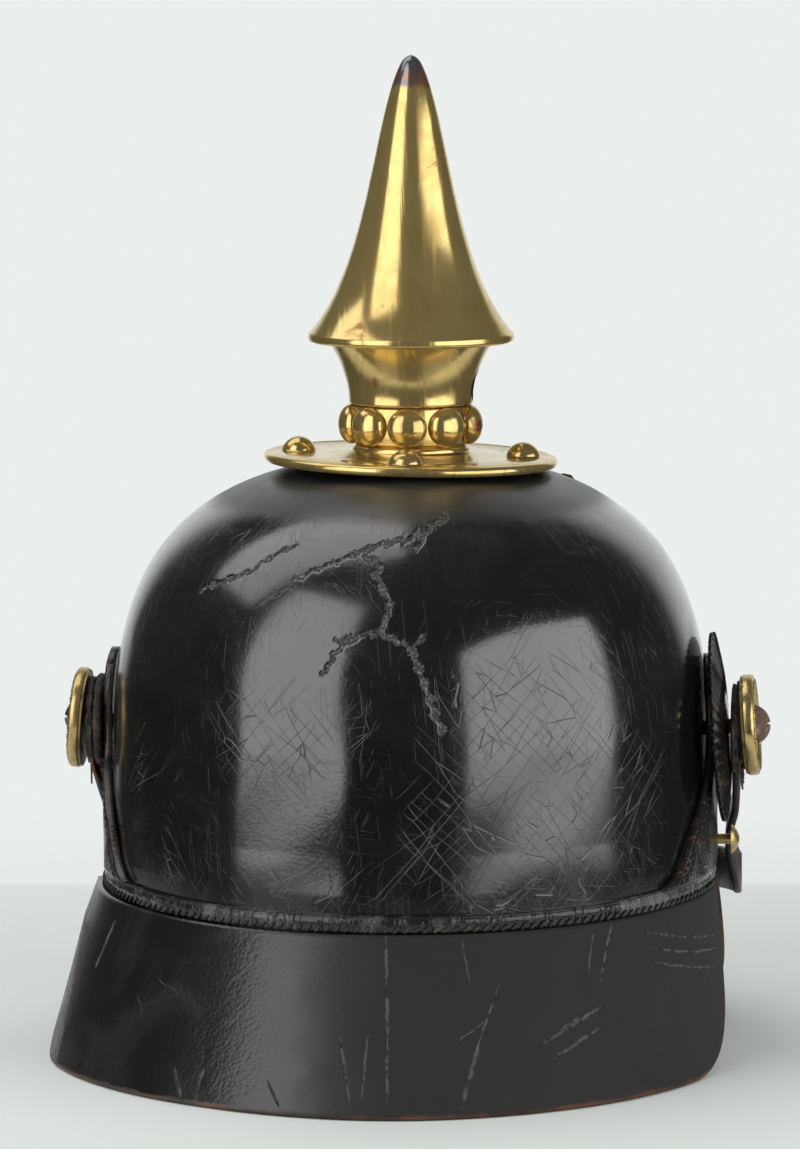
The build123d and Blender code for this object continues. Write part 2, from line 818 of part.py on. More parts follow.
apex = cockade_rise + cockade_leather
flute_plane = boss_plane(1, cockade_rim_seat)
flute_middle_radius = (flute_inner_radius + cockade_radius) / 2
flute_inner_height = cockade_leather + cockade_height(flute_inner_radius / cockade_radius)
flute_slope = atan2(flute_inner_height - cockade_leather, cockade_radius - flute_inner_radius)
flute_rim_height = cockade_leather + flute_radius
flute_middle_height = (flute_inner_height + flute_rim_height) / 2 + flute_depth_share * flute_radius
flute_length = flute_length_share * (cockade_radius - flute_inner_radius)
cockade_curve_radius = (cockade_radius**2 + cockade_rise**2) / (2 * cockade_rise)
hub_depth = (cockade_hub_seat - cockade_rim_seat) / cos(radians(boss_lean))
with BuildPart() as cockade:
    with BuildSketch(boss_profile(1, cockade_rim_seat)):
        with BuildLine():
            hub_fall = cockade_hub_radius**2 / (2 * cockade_curve_radius)
            hub_inner = (cockade_hub_radius, cockade_rise - hub_fall)
            Polyline(
                hub_inner,
                (cockade_hub_radius, hub_depth),
                (boss_shank_radius + hole_gap, hub_depth),
                (boss_shank_radius + hole_gap, apex),
            )
            rim_top = (cockade_radius, cockade_leather)
            ThreePointArc(
                (boss_shank_radius + hole_gap, apex),
                (cockade_radius * cockade_face_share, cockade_leather + cockade_height(cockade_face_share)),
                rim_top,
            )
            Line(rim_top, (cockade_radius, 0))
            ThreePointArc(
                (cockade_radius, 0),
                (cockade_radius * cockade_back_share, cockade_height(cockade_back_share)),
                hub_inner,
            )
        make_face()
    revolve(axis=boss_axis(1, cockade_rim_seat))
    with Locations(flute_plane.offset(flute_middle_height)):
        with PolarLocations(flute_middle_radius, flute_count):
            Cylinder(
                flute_radius,
                flute_length,
                rotation=(0, 90 + degrees(flute_slope), 0),
                mode=Mode.SUBTRACT,
            )
cockade.part.label = "cockade"
export_step(cockade.part, "parts/cockade.step")

# Small button on the right side
button_face = patch_face * sqrt(1 - (button_forward / oval(seat_gap + patch_leather)[1]) ** 2)
button_seat = button_face + button_standoff
button_dome_radius = (button_radius**2 + button_dome**2) / (2 * button_dome)
with BuildPart() as side_button:
    button_centre = (button_seat, button_forward, button_height)
    with BuildSketch(Plane(origin=button_centre, x_dir=(0, 1, 0), z_dir=(0, 0, -1))):
        with BuildLine():
            Line((0, button_dome), (0, 0))
            Line((0, 0), (button_radius, 0))
            RadiusArc((button_radius, 0), (0, button_dome), -button_dome_radius)
        make_face()
    revolve(axis=Axis((0, button_forward, button_height), (1, 0, 0)))
    with BuildSketch(Plane.YZ.offset(button_seat)):
        with Locations((button_forward, button_height)):
            Circle(button_shank_radius)
    extrude(amount=-(button_standoff + patch_leather + seat_gap + shell_leather))
side_button.part.label = "side_button"
export_step(side_button.part, "parts/side_button.step")

# Chinstrap
loop_tilt = radians(strap_loop_tilt)
loop_plane = Plane(
    origin=(strap_shift, strap_loop_shift, strap_loop_height),
    x_dir=(1, 0, 0),
    z_dir=(0, sin(loop_tilt), cos(loop_tilt)),
)


def loop_height_at(forward):
    return strap_loop_height - (forward - strap_loop_shift) * tan(loop_tilt)


drop_end = strap_drop_forward + strap_drop_run
with BuildPart() as chinstrap:
    with BuildSketch(loop_plane.offset(-strap_width / 2)):
        Circle(strap_half_width + strap_leather)
        Circle(strap_half_width, mode=Mode.SUBTRACT)
        with Locations((0, strap_half_width)):
            Rectangle(3 * strap_half_width, 2 * strap_half_width, mode=Mode.INTERSECT)
    extrude(amount=strap_width)
    for side in (-1, 1):
        with BuildSketch(Plane.YZ.offset(strap_shift + side * strap_half_width)):
            with BuildLine():
                FilletPolyline(
                    (0, boss_height),
                    (strap_drop_forward, loop_height_at(strap_drop_forward)),
                    (drop_end, loop_height_at(drop_end)),
                    radius=strap_drop_radius,
                )
            trace(line_width=strap_width)
            with Locations((0, boss_height)):
                Circle(strap_eye_radius)
                Circle(boss_shank_radius + strap_hole_gap, mode=Mode.SUBTRACT)
        extrude(amount=side * strap_leather)
chinstrap.part.label = "chinstrap"
export_step(chinstrap.part, "parts/chinstrap.step")

# Slides on the strap's loop
slide_middle = strap_half_width + strap_leather / 2
for name, angle in (("left_strap_slide", 90 + slide_angle), ("right_strap_slide", 90 - slide_angle)):
    with BuildPart() as slide:
        with BuildSketch(loop_plane.offset(-strap_width / 2 - turn_gap - slide_wall)):
            Circle(strap_half_width + strap_leather + turn_gap + slide_wall)
            Circle(strap_half_width - turn_gap - slide_wall, mode=Mode.SUBTRACT)
            with PolarLocations(slide_middle, 1, start_angle=angle):
                Rectangle(4 * slide_wall + 2 * strap_leather, slide_length, mode=Mode.INTERSECT)
        extrude(amount=strap_width + 2 * (turn_gap + slide_wall))
        with BuildSketch(loop_plane.offset(-strap_width / 2 - turn_gap)):
            Circle(strap_half_width + strap_leather + turn_gap)
            Circle(strap_half_width - turn_gap, mode=Mode.SUBTRACT)
        extrude(amount=strap_width + 2 * turn_gap, mode=Mode.SUBTRACT)
    slide.part.label = name
    export_step(slide.part, f"parts/{name}.step")

# Front plate
front_view = Plane(origin=(0, 0, 0), x_dir=(-1, 0, 0), z_dir=(0, 1, 0))
low_layer = dome_layer(plate_gap, plate_gap + plate_sheet, brim_height)
high_layer = dome_layer(plate_gap + plate_sheet / 2, plate_gap + plate_sheet + plate_relief, brim_height)
wing_step = (wing_last_angle - wing_first_angle) / (len(wing_shares) - 1)
wing_angles = [wing_first_angle + wing_step * count for count in range(len(wing_shares))]
feathers = [(angle, wing_reach * share) for angle, share in zip(wing_angles, wing_shares)]
feathers += [(180 - angle, reach) for angle, reach in feathers]
feathers += [(angle, tail_reach) for angle in tail_angles]


def feather_fan(chosen, half_width, reach_share=1):
    with BuildSketch(front_view) as fan:
        for angle, reach in chosen:
            middle = reach / 2
            with Locations(
                Location(
                    (middle * cos(radians(angle)), plate_centre + middle * sin(radians(angle))),
                    angle,
                )
            ):
                Ellipse(middle * reach_share, half_width)
    return fan.sketch


with BuildPart() as plate_low:
    add(low_layer)
    extrude(feather_fan(feathers, feather_half_width), amount=2 * shell_half_length, mode=Mode.INTERSECT)
with BuildPart() as plate_high:
    add(high_layer)
    extrude(
        feather_fan(feathers[::2], feather_half_width * feather_relief_share, feather_relief_reach_share),
        amount=2 * shell_half_length,
        mode=Mode.INTERSECT,
    )
plate_boss_seat = oval(outset_at(plate_centre) + plate_gap)[1]
plate_dome_radius = (plate_boss_radius**2 + plate_boss_height**2) / (2 * plate_boss_height)
with BuildPart() as front_plate:
    add(plate_low.part)
    add(plate_high.part)
    with BuildSketch(Plane(origin=(0, plate_boss_seat, plate_centre), x_dir=(1, 0, 0), z_dir=(0, 0, 1))):
        with BuildLine():
            Line((0, plate_boss_height), (0, 0))
            Line((0, 0), (plate_boss_radius, 0))
            RadiusArc((plate_boss_radius, 0), (0, plate_boss_height), -plate_dome_radius)
        make_face()
    revolve(axis=Axis((0, 0, plate_centre), (0, 1, 0)))
    for side in (-1, 1):
        post_direction = (side * sin(post_turn), cos(post_turn), 0)
        post_length = shell_leather + plate_inner_gap + plate_nut_thickness
        post_end = (
            side * (post_x - post_length * sin(post_turn)),
            post_y - post_length * cos(post_turn),
            post_height,
        )
        with BuildSketch(Plane(origin=post_end, z_dir=post_direction)):
            Circle(post_radius)
        extrude(amount=post_length + plate_gap + plate_sheet)
front_plate.part.label = "front_plate"
export_step(front_plate.part, "parts/front_plate.step")

with BuildPart() as plate_nuts:
    for side in (-1, 1):
        post_direction = (side * sin(post_turn), cos(post_turn), 0)
        inner = shell_leather + plate_inner_gap
        nut_place = (side * (post_x - inner * sin(post_turn)), post_y - inner * cos(post_turn), post_height)
        with BuildSketch(Plane(origin=nut_place, z_dir=post_direction)):
            Circle(plate_nut_radius)
            Circle(post_radius + thread_gap, mode=Mode.SUBTRACT)
        extrude(amount=-plate_nut_thickness)
plate_nuts.part.label = "plate_nuts"
export_step(plate_nuts.part, "parts/plate_nuts.step")
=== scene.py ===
# Spiked leather helmet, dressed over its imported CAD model. Metres, +Z up, +Y the wearer's front.
import math
import random

import bmesh
import bpy
import numpy as np
from mathutils import Matrix, Vector, noise


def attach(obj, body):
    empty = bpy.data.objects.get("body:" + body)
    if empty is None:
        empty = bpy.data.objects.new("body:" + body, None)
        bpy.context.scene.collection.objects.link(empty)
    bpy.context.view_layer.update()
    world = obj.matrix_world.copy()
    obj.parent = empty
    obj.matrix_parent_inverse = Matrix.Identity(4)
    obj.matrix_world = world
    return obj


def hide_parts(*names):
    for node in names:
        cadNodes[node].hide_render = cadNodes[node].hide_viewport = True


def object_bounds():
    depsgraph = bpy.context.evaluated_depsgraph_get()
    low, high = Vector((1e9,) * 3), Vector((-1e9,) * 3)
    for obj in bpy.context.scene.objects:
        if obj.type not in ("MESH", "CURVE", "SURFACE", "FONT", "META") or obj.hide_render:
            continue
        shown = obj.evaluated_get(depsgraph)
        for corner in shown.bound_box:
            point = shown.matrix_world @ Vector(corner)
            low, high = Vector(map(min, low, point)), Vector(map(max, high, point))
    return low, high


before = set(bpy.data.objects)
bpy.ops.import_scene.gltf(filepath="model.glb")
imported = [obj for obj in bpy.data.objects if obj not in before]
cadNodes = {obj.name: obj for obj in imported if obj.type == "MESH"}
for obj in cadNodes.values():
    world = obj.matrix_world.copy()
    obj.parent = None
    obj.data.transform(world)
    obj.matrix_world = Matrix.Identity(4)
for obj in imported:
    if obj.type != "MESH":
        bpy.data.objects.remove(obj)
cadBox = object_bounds()
dice = random.Random(7)
mm = 0.001


# The camera stands behind the helmet, level with its crown
view = {"distance": 2.2, "height": 0.392, "turn": 5.2, "pitch": 6.45, "aimLeft": 0.00336,
        "pixels": 7208 / 1149}

turn = math.radians(view["turn"])
camData = bpy.data.cameras.new("studioCamera")
camData.sensor_fit = "VERTICAL"
camData.sensor_height = 36
camData.lens = 36 * view["pixels"]
camData.clip_start = 0.05
cam = bpy.data.objects.new("studioCamera", camData)
bpy.context.scene.collection.objects.link(cam)
cam.location = (view["distance"] * math.sin(turn), -view["distance"] * math.cos(turn), view["height"])
lookTurn = turn + view["aimLeft"] / view["distance"]
pitch = math.radians(view["pitch"])
lookAlong = Vector((-math.sin(lookTurn) * math.cos(pitch), math.cos(lookTurn) * math.cos(pitch),
                    -math.sin(pitch)))
cam.rotation_euler = lookAlong.to_track_quat("-Z", "Y").to_euler()
bpy.context.scene.camera = cam
bpy.context.scene.view_settings.view_transform = "Standard"
print("camera placed")


# Node helpers
def put(tree, kind, wires=None, **settings):
    node = tree.nodes.new(kind)
    for name, value in settings.items():
        setattr(node, name, value)
    for name, value in (wires or {}).items():
        if isinstance(value, bpy.types.NodeSocket):
            tree.links.new(value, node.inputs[name])
        else:
            node.inputs[name].default_value = value
    return node


def sums(tree, operation, first, second=0.0, third=0.0):
    node = put(tree, "ShaderNodeMath", {0: first, 1: second, 2: third}, operation=operation)
    return node.outputs[0]


def vectorSums(tree, operation, first, second=(0, 0, 0), output=0):
    return put(tree, "ShaderNodeVectorMath", {0: first, 1: second}, operation=operation).outputs[output]


def spread(tree, value, low, high, outLow=0.0, outHigh=1.0, smooth=True):
    wires = {"Value": value, "From Min": low, "From Max": high, "To Min": outLow, "To Max": outHigh}
    kind = "SMOOTHSTEP" if smooth else "LINEAR"
    return put(tree, "ShaderNodeMapRange", wires, interpolation_type=kind).outputs["Result"]


def mixed(tree, factor, first, second):
    node = put(tree, "ShaderNodeMix", data_type="RGBA")
    for index, value in ((0, factor), (6, first), (7, second)):
        if isinstance(value, bpy.types.NodeSocket):
            tree.links.new(value, node.inputs[index])
        elif index:
            node.inputs[index].default_value = (*value, 1)
        else:
            node.inputs[index].default_value = value
    return node.outputs[2]


def noiseOf(tree, vector, scale, detail=4.0, rough=0.55, warp=0.0):
    wires = {"Vector": vector, "Scale": scale, "Detail": detail, "Roughness": rough, "Distortion": warp}
    return put(tree, "ShaderNodeTexNoise", wires).outputs["Fac"]


def startGroup(name, ins, outs):
    group = bpy.data.node_groups.new(name, "ShaderNodeTree")
    for label, kind, value in ins:
        socket = group.interface.new_socket(label, in_out="INPUT", socket_type=kind)
        socket.default_value = value
    for label, kind in outs:
        group.interface.new_socket(label, in_out="OUTPUT", socket_type=kind)
    return group, group.nodes.new("NodeGroupInput").outputs, group.nodes.new("NodeGroupOutput").inputs


def groupIn(tree, group, wires):
    node = tree.nodes.new("ShaderNodeGroup")
    node.node_tree = group
    for name, value in wires.items():
        if isinstance(value, bpy.types.NodeSocket):
            tree.links.new(value, node.inputs[name])
        else:
            node.inputs[name].default_value = value
    return node.outputs


floatSocket = "NodeSocketFloat"
vectorSocket = "NodeSocketVector"


# Shared effects
crackleShape = {"wobbleScale": 60.0, "slim": (1.0, 0.6, 0.16), "secondNet": 3.7, "patchScale": 34.0,
                "patchEdge": (0.9, 1.12)}


def makeCrackle():
    group, ins, outs = startGroup(
        "fineCrackle",
        [("Vector", vectorSocket, (0, 0, 0)), ("Scale", floatSocket, 300.0), ("Width", floatSocket, 0.05),
         ("Warp", floatSocket, 0.002), ("Cover", floatSocket, 0.5), ("Lean", floatSocket, 0.6)],
        [("Mask", floatSocket)],
    )
    wobble = put(group, "ShaderNodeTexNoise", {"Vector": ins["Vector"], "Scale": crackleShape["wobbleScale"],
                                               "Detail": 3.0})
    shift = vectorSums(group, "SUBTRACT", wobble.outputs["Color"], (0.5, 0.5, 0.5))
    scaled = put(group, "ShaderNodeVectorMath", {0: shift, "Scale": ins["Warp"]},
                 operation="SCALE").outputs[0]
    place = vectorSums(group, "ADD", ins["Vector"], scaled)
    total = None
    for sign, seed in ((1.0, 0.0), (-1.0, crackleShape["secondNet"])):
        angle = sums(group, "MULTIPLY", ins["Lean"], sign)
        leaning = put(group, "ShaderNodeVectorRotate", {"Vector": place, "Angle": angle},
                      rotation_type="Y_AXIS")
        slim = vectorSums(group, "MULTIPLY", leaning.outputs[0], crackleShape["slim"])
        slim = vectorSums(group, "ADD", slim, (seed, 0, 0))
        cells = put(group, "ShaderNodeTexVoronoi", {"Vector": slim, "Scale": ins["Scale"]},
                    feature="DISTANCE_TO_EDGE")
        line = spread(group, cells.outputs["Distance"], 0.0, ins["Width"], 1.0, 0.0)
        moved = vectorSums(group, "ADD", ins["Vector"], (seed, 0, 0))
        patches = noiseOf(group, moved, crackleShape["patchScale"], 4.0)
        kept = spread(group, sums(group, "ADD", patches, ins["Cover"]), *crackleShape["patchEdge"])
        line = sums(group, "MULTIPLY", line, kept)
        total = line if total is None else sums(group, "MAXIMUM", total, line)
    group.links.new(total, outs["Mask"])
    return group


def makePebble():
    group, ins, outs = startGroup("pebbleGrain",
                                  [("Vector", vectorSocket, (0, 0, 0)), ("Scale", floatSocket, 900.0),
                                   ("Patchiness", floatSocket, 0.5)], [("Height", floatSocket)])
    cells = put(group, "ShaderNodeTexVoronoi",
                {"Vector": ins["Vector"], "Scale": ins["Scale"], "Smoothness": 0.6},
                feature="SMOOTH_F1").outputs["Distance"]
    coarse = noiseOf(group, ins["Vector"], sums(group, "MULTIPLY", ins["Scale"], 0.28), 4.0, 0.6)
    patches = spread(group, noiseOf(group, ins["Vector"], 24.0, 2.0), 0.35, 0.65)
    strength = sums(group, "SUBTRACT", 1.0, sums(group, "MULTIPLY", patches, ins["Patchiness"]))
    both = sums(group, "ADD", sums(group, "MULTIPLY", cells, -0.7), coarse)
    group.links.new(sums(group, "MULTIPLY", both, strength), outs["Height"])
    return group


def makeGouge():
    group, ins, outs = startGroup("gouge",
                                  [("Vector", vectorSocket, (0, 0, 0)), ("Start", vectorSocket, (0, 0, 0)),
                                   ("End", vectorSocket, (0, 0, 1)), ("Width", floatSocket, 0.0006)],
                                  [("Mask", floatSocket)])
    fromStart = vectorSums(group, "SUBTRACT", ins["Vector"], ins["Start"])
    whole = vectorSums(group, "SUBTRACT", ins["End"], ins["Start"])
    along = sums(group, "DIVIDE", vectorSums(group, "DOT_PRODUCT", fromStart, whole, "Value"),
                 vectorSums(group, "DOT_PRODUCT", whole, whole, "Value"))
    share = put(group, "ShaderNodeClamp", {"Value": along}).outputs[0]
    nearest = put(group, "ShaderNodeVectorMath", {0: whole, "Scale": share}, operation="SCALE").outputs[0]
    gap = vectorSums(group, "LENGTH", vectorSums(group, "SUBTRACT", fromStart, nearest), output="Value")
    taper = sums(group, "MULTIPLY", share, sums(group, "SUBTRACT", 1.0, share))
    width = sums(group, "MULTIPLY", ins["Width"], spread(group, taper, 0.0, 0.16, 0.35, 1.0))
    group.links.new(spread(group, sums(group, "DIVIDE", gap, width), 0.0, 0.85, 1.0, 0.0), outs["Mask"])
    return group


def makeMottle():
    group, ins, outs = startGroup(
        "mottle",
        [("Vector", vectorSocket, (0, 0, 0)), ("Scale", floatSocket, 40.0), ("Low", floatSocket, 0.45),
         ("High", floatSocket, 0.7), ("Warp", floatSocket, 0.6)],
        [("Mask", floatSocket)],
    )
    value = noiseOf(group, ins["Vector"], ins["Scale"], 6.0, 0.62, ins["Warp"])
    group.links.new(spread(group, value, ins["Low"], ins["High"]), outs["Mask"])
    return group


def makeHairlines():
    group, ins, outs = startGroup(
        "hairlines",
        [("Vector", vectorSocket, (0, 0, 0)), ("Lean", floatSocket, 0.2), ("Length", floatSocket, 0.012),
         ("Spacing", floatSocket, 0.0007), ("Level", floatSocket, 0.62)],
        [("Mask", floatSocket)],
    )
    turned = put(group, "ShaderNodeVectorRotate", {"Vector": ins["Vector"], "Angle": ins["Lean"]},
                 rotation_type="Y_AXIS")
    across = sums(group, "DIVIDE", 1.0, ins["Spacing"])
    along = sums(group, "DIVIDE", 1.0, ins["Length"])
    stretch = put(group, "ShaderNodeCombineXYZ", {"X": across, "Y": along, "Z": along}).outputs[0]
    value = noiseOf(group, vectorSums(group, "MULTIPLY", turned.outputs[0], stretch), 1.0, 1.0, 0.4)
    group.links.new(spread(group, value, ins["Level"], sums(group, "ADD", ins["Level"], 0.05)), outs["Mask"])
    return group


crackle = makeCrackle()
pebble = makePebble()
gouge = makeGouge()
mottle = makeMottle()
hairlines = makeHairlines()
print("shared effects made")


# Materials
def startMaterial(name):
    material = bpy.data.materials.new(name)
    material.use_nodes = True
    tree = material.node_tree
    tree.nodes.clear()
    shader = put(tree, "ShaderNodeBsdfPrincipled")
    output = put(tree, "ShaderNodeOutputMaterial")
    tree.links.new(shader.outputs[0], output.inputs["Surface"])
    coords = put(tree, "ShaderNodeTexCoord").outputs["Object"]
    return material, tree, shader, coords


def bump(tree, shader, height, distance, strength=1.0, under=None):
    wires = {"Height": height, "Distance": distance, "Strength": strength}
    if under:
        wires["Normal"] = under
    normal = put(tree, "ShaderNodeBump", wires).outputs["Normal"]
    tree.links.new(normal, shader.inputs["Normal"])
    return normal


def scratchesIn(tree, coords, marks, wobble, scale):
    warp = put(tree, "ShaderNodeTexNoise", {"Vector": coords, "Scale": scale, "Detail": 4.0}).outputs["Color"]
    level = vectorSums(tree, "SUBTRACT", warp, (0.5, 0.5, 0.5))
    shift = put(tree, "ShaderNodeVectorMath", {0: level, "Scale": wobble}, operation="SCALE").outputs[0]
    flat = vectorSums(tree, "MULTIPLY", vectorSums(tree, "ADD", coords, shift), (1, 0, 1))
    total = None
    for startX, startZ, endX, endZ, width in marks:
        mask = groupIn(tree, gouge, {"Vector": flat, "Start": (startX * mm, 0, startZ * mm),
                                     "End": (endX * mm, 0, endZ * mm), "Width": width * mm})["Mask"]
        total = mask if total is None else sums(tree, "MAXIMUM", total, mask)
    depth = put(tree, "ShaderNodeSeparateXYZ", {0: coords}).outputs["Y"]
    rearOnly = sums(tree, "LESS_THAN", depth, 0.0)
    return sums(tree, "MULTIPLY", total, rearOnly)


lacquerLook = {"black": (0.0048, 0.0048, 0.0054), "faded": (0.0085, 0.008, 0.0078), "gloss": (0.13, 0.2),
               "torn": (0.24, 0.225, 0.2), "tornDark": (0.005, 0.005, 0.005), "crackDepth": 0.0001,
               "crackShade": (0.03, 0.028, 0.026), "coat": 0.5, "dullAbove": (0.164, 0.169),
               "dullRough": 0.22, "dust": (0.05, 0.047, 0.042), "dustFrom": (0.14, 0.18),
               "netFrom": (0.138, 0.15), "netShare": 0.4, "tornEdge": (0.42, 0.55)}
# straight cracks: lean, scale, width and how much they cover, None where the crossed patches say so
straightCracks = [(0.8, 230.0, 0.017, None), (0.14, 170.0, 0.012, 0.34), (1.4, 150.0, 0.011, 0.3)]
# hair cracks: lean, length and spacing of the strokes, how rare they are, and how deep
hairStrokes = [(0.12, 0.02, 0.0005, 0.67, 1.0), (-0.5, 0.012, 0.00055, 0.69, 0.7),
               (0.75, 0.012, 0.00055, 0.69, 0.7), (1.45, 0.014, 0.00055, 0.68, 0.6)]
# patches where straight cracks cross each other: centre x, z and reach, in mm
hatchedPatches = [(42, 88, 50), (-33, 106, 24)]
plainCover = 0.36
hatchedCover = 0.22  # added in the patches


def makeLacquer():
    material, tree, shader, coords = startMaterial("blackLacquer")
    parts = put(tree, "ShaderNodeSeparateXYZ", {0: coords}).outputs
    unrolled = put(tree, "ShaderNodeAttribute", attribute_name="unrolled").outputs["Vector"]
    torn = put(tree, "ShaderNodeAttribute", attribute_name="torn").outputs["Fac"]
    cover = plainCover
    for x, z, reach in hatchedPatches:
        fromCentre = vectorSums(tree, "SUBTRACT", coords, (x * mm, 0, z * mm))
        away = vectorSums(tree, "LENGTH", vectorSums(tree, "MULTIPLY", fromCentre, (1, 0, 1)), output="Value")
        cover = sums(tree, "ADD", cover, spread(tree, away, reach * mm * 0.35, reach * mm, hatchedCover, 0.0))
    lines = None
    for lean, scale, width, share in straightCracks:
        found = groupIn(tree, crackle, {"Vector": unrolled, "Scale": scale, "Width": width, "Warp": 0.0012,
                                        "Cover": cover if share is None else share, "Lean": lean})["Mask"]
        lines = found if lines is None else sums(tree, "MAXIMUM", lines, found)
    net = groupIn(tree, crackle, {"Vector": vectorSums(tree, "MULTIPLY", unrolled, (1, 1, 4)), "Scale": 380.0,
                                  "Width": 0.045, "Warp": 0.002, "Cover": 0.4, "Lean": 0.3})["Mask"]
    netAbove = spread(tree, parts["Z"], *lacquerLook["netFrom"], 0.0, lacquerLook["netShare"])
    lines = sums(tree, "MAXIMUM", lines, sums(tree, "MULTIPLY", net, netAbove))
    hairs = None
    for lean, length, spacing, level, depth in hairStrokes:
        found = groupIn(tree, hairlines,
                        {"Vector": unrolled, "Lean": lean, "Length": length, "Spacing": spacing,
                         "Level": level})["Mask"]
        found = sums(tree, "MULTIPLY", found, depth)
        hairs = found if hairs is None else sums(tree, "MAXIMUM", hairs, found)
    clouds = groupIn(tree, mottle, {"Vector": coords, "Scale": 26.0, "Low": 0.35, "High": 0.72})["Mask"]
    dust = sums(tree, "MULTIPLY", spread(tree, parts["Z"], *lacquerLook["dustFrom"]), clouds)
    black = mixed(tree, clouds, lacquerLook["black"], lacquerLook["faded"])
    black = mixed(tree, sums(tree, "MULTIPLY", dust, 0.25), black, lacquerLook["dust"])
    marked = sums(tree, "MAXIMUM", sums(tree, "MULTIPLY", lines, 0.3), sums(tree, "MULTIPLY", hairs, 0.1))
    cracked = mixed(tree, marked, black, lacquerLook["crackShade"])
    coarse = sums(tree, "MULTIPLY", sums(tree, "SUBTRACT", noiseOf(tree, coords, 420.0, 3.0, 0.6), 0.5), 1.5)
    fine = sums(tree, "MULTIPLY", sums(tree, "SUBTRACT", noiseOf(tree, coords, 1300.0, 4.0, 0.7), 0.5), 1.6)
    fray = sums(tree, "MULTIPLY", sums(tree, "ADD", coarse, fine), spread(tree, torn, 0.0, 0.2))
    ragged = spread(tree, sums(tree, "ADD", torn, fray), *lacquerLook["tornEdge"])
    crumbs = noiseOf(tree, coords, 1400.0, 4.0, 0.75)
    fibre = mixed(tree, spread(tree, crumbs, 0.5, 0.62), lacquerLook["tornDark"], lacquerLook["torn"])
    tree.links.new(mixed(tree, ragged, cracked, fibre), shader.inputs["Base Color"])
    rough = spread(tree, clouds, 0.0, 1.0, *lacquerLook["gloss"])
    rough = sums(tree, "ADD", rough, sums(tree, "MULTIPLY", sums(tree, "MAXIMUM", lines, hairs), 0.12))
    dull = spread(tree, parts["Z"], *lacquerLook["dullAbove"])
    rough = sums(tree, "ADD", rough, sums(tree, "MULTIPLY", dull, lacquerLook["dullRough"]))
    tree.links.new(sums(tree, "ADD", rough, sums(tree, "MULTIPLY", ragged, 0.35)), shader.inputs["Roughness"])
    broken = sums(tree, "MAXIMUM", lines, sums(tree, "MULTIPLY", hairs, 0.4))
    broken = sums(tree, "MAXIMUM", sums(tree, "MAXIMUM", ragged, dull), broken)
    coatLeft = spread(tree, broken, 0.0, 1.0, lacquerLook["coat"], 0.0, smooth=False)
    tree.links.new(coatLeft, shader.inputs["Coat Weight"])
    grain = groupIn(tree, pebble, {"Vector": coords, "Scale": 900.0, "Patchiness": 0.6})["Height"]
    under = bump(tree, shader, grain, 0.00004, 0.5)
    raised = sums(tree, "MULTIPLY", crumbs, sums(tree, "MULTIPLY", ragged, 9.0))
    sunk = sums(tree, "MAXIMUM", lines, sums(tree, "MULTIPLY", hairs, 0.2))
    bump(tree, shader, sums(tree, "SUBTRACT", raised, sunk), lacquerLook["crackDepth"], 0.8, under)
    shader.inputs["Specular IOR Level"].default_value = 0.9
    shader.inputs["Coat Roughness"].default_value = 0.12
    return material


visorLook = {"black": (0.007, 0.0068, 0.0066), "faded": (0.013, 0.0125, 0.012), "raw": (0.1, 0.042, 0.02),
             "gloss": (0.24, 0.36), "rubbed": (-0.02, 0.02, 0.0, 0.6), "grainScale": 820.0,
             "grainDepth": 0.0002, "cutShade": (0.1, 0.095, 0.088), "cutDepth": 0.0007,
             "crackShade": (0.03, 0.027, 0.025), "rawDark": (0.03, 0.018, 0.012), "wearEdge": (0.9, 1.12)}
# scratches seen from behind: start x, z, end x, z and width, in mm
visorMarks = [
    (2.8, 49.0, 3.9, 36.0, 0.9), (3.9, 36.0, 5.0, 21.0, 1.0), (5.0, 21.0, 5.8, 3.0, 0.9),
    (-9.1, 22.3, -5.0, 4.4, 0.8), (-0.9, 22.7, -1.6, 5.5, 0.7), (-59.4, 9.3, -56.5, 1.7, 0.9),
    (-50.0, 10.6, -51.9, 1.9, 0.9), (36.4, 35.5, 31.5, 20.9, 0.7), (31.5, 20.9, 27.3, 3.1, 1.2),
    (27.9, 35.7, 24.9, 47.9, 0.6), (48.5, 18.3, 66.1, 26.9, 1.1), (50.9, 13.6, 65.0, 20.9, 1.0),
    (53.9, 21.8, 62.1, 25.6, 0.8), (75.0, 45.4, 96.7, 36.5, 0.6), (78.0, 39.9, 96.6, 33.0, 0.6),
    (79.5, 35.8, 95.9, 28.8, 0.6), (67.1, 49.0, 64.5, 32.5, 0.6), (62.4, 48.0, 61.0, 36.0, 0.5),
    (24.0, 20.0, 33.0, 26.0, 0.5), (-84.0, 44.0, -90.0, 30.0, 0.5), (-30.0, 9.0, -26.0, 2.5, 0.5),
]


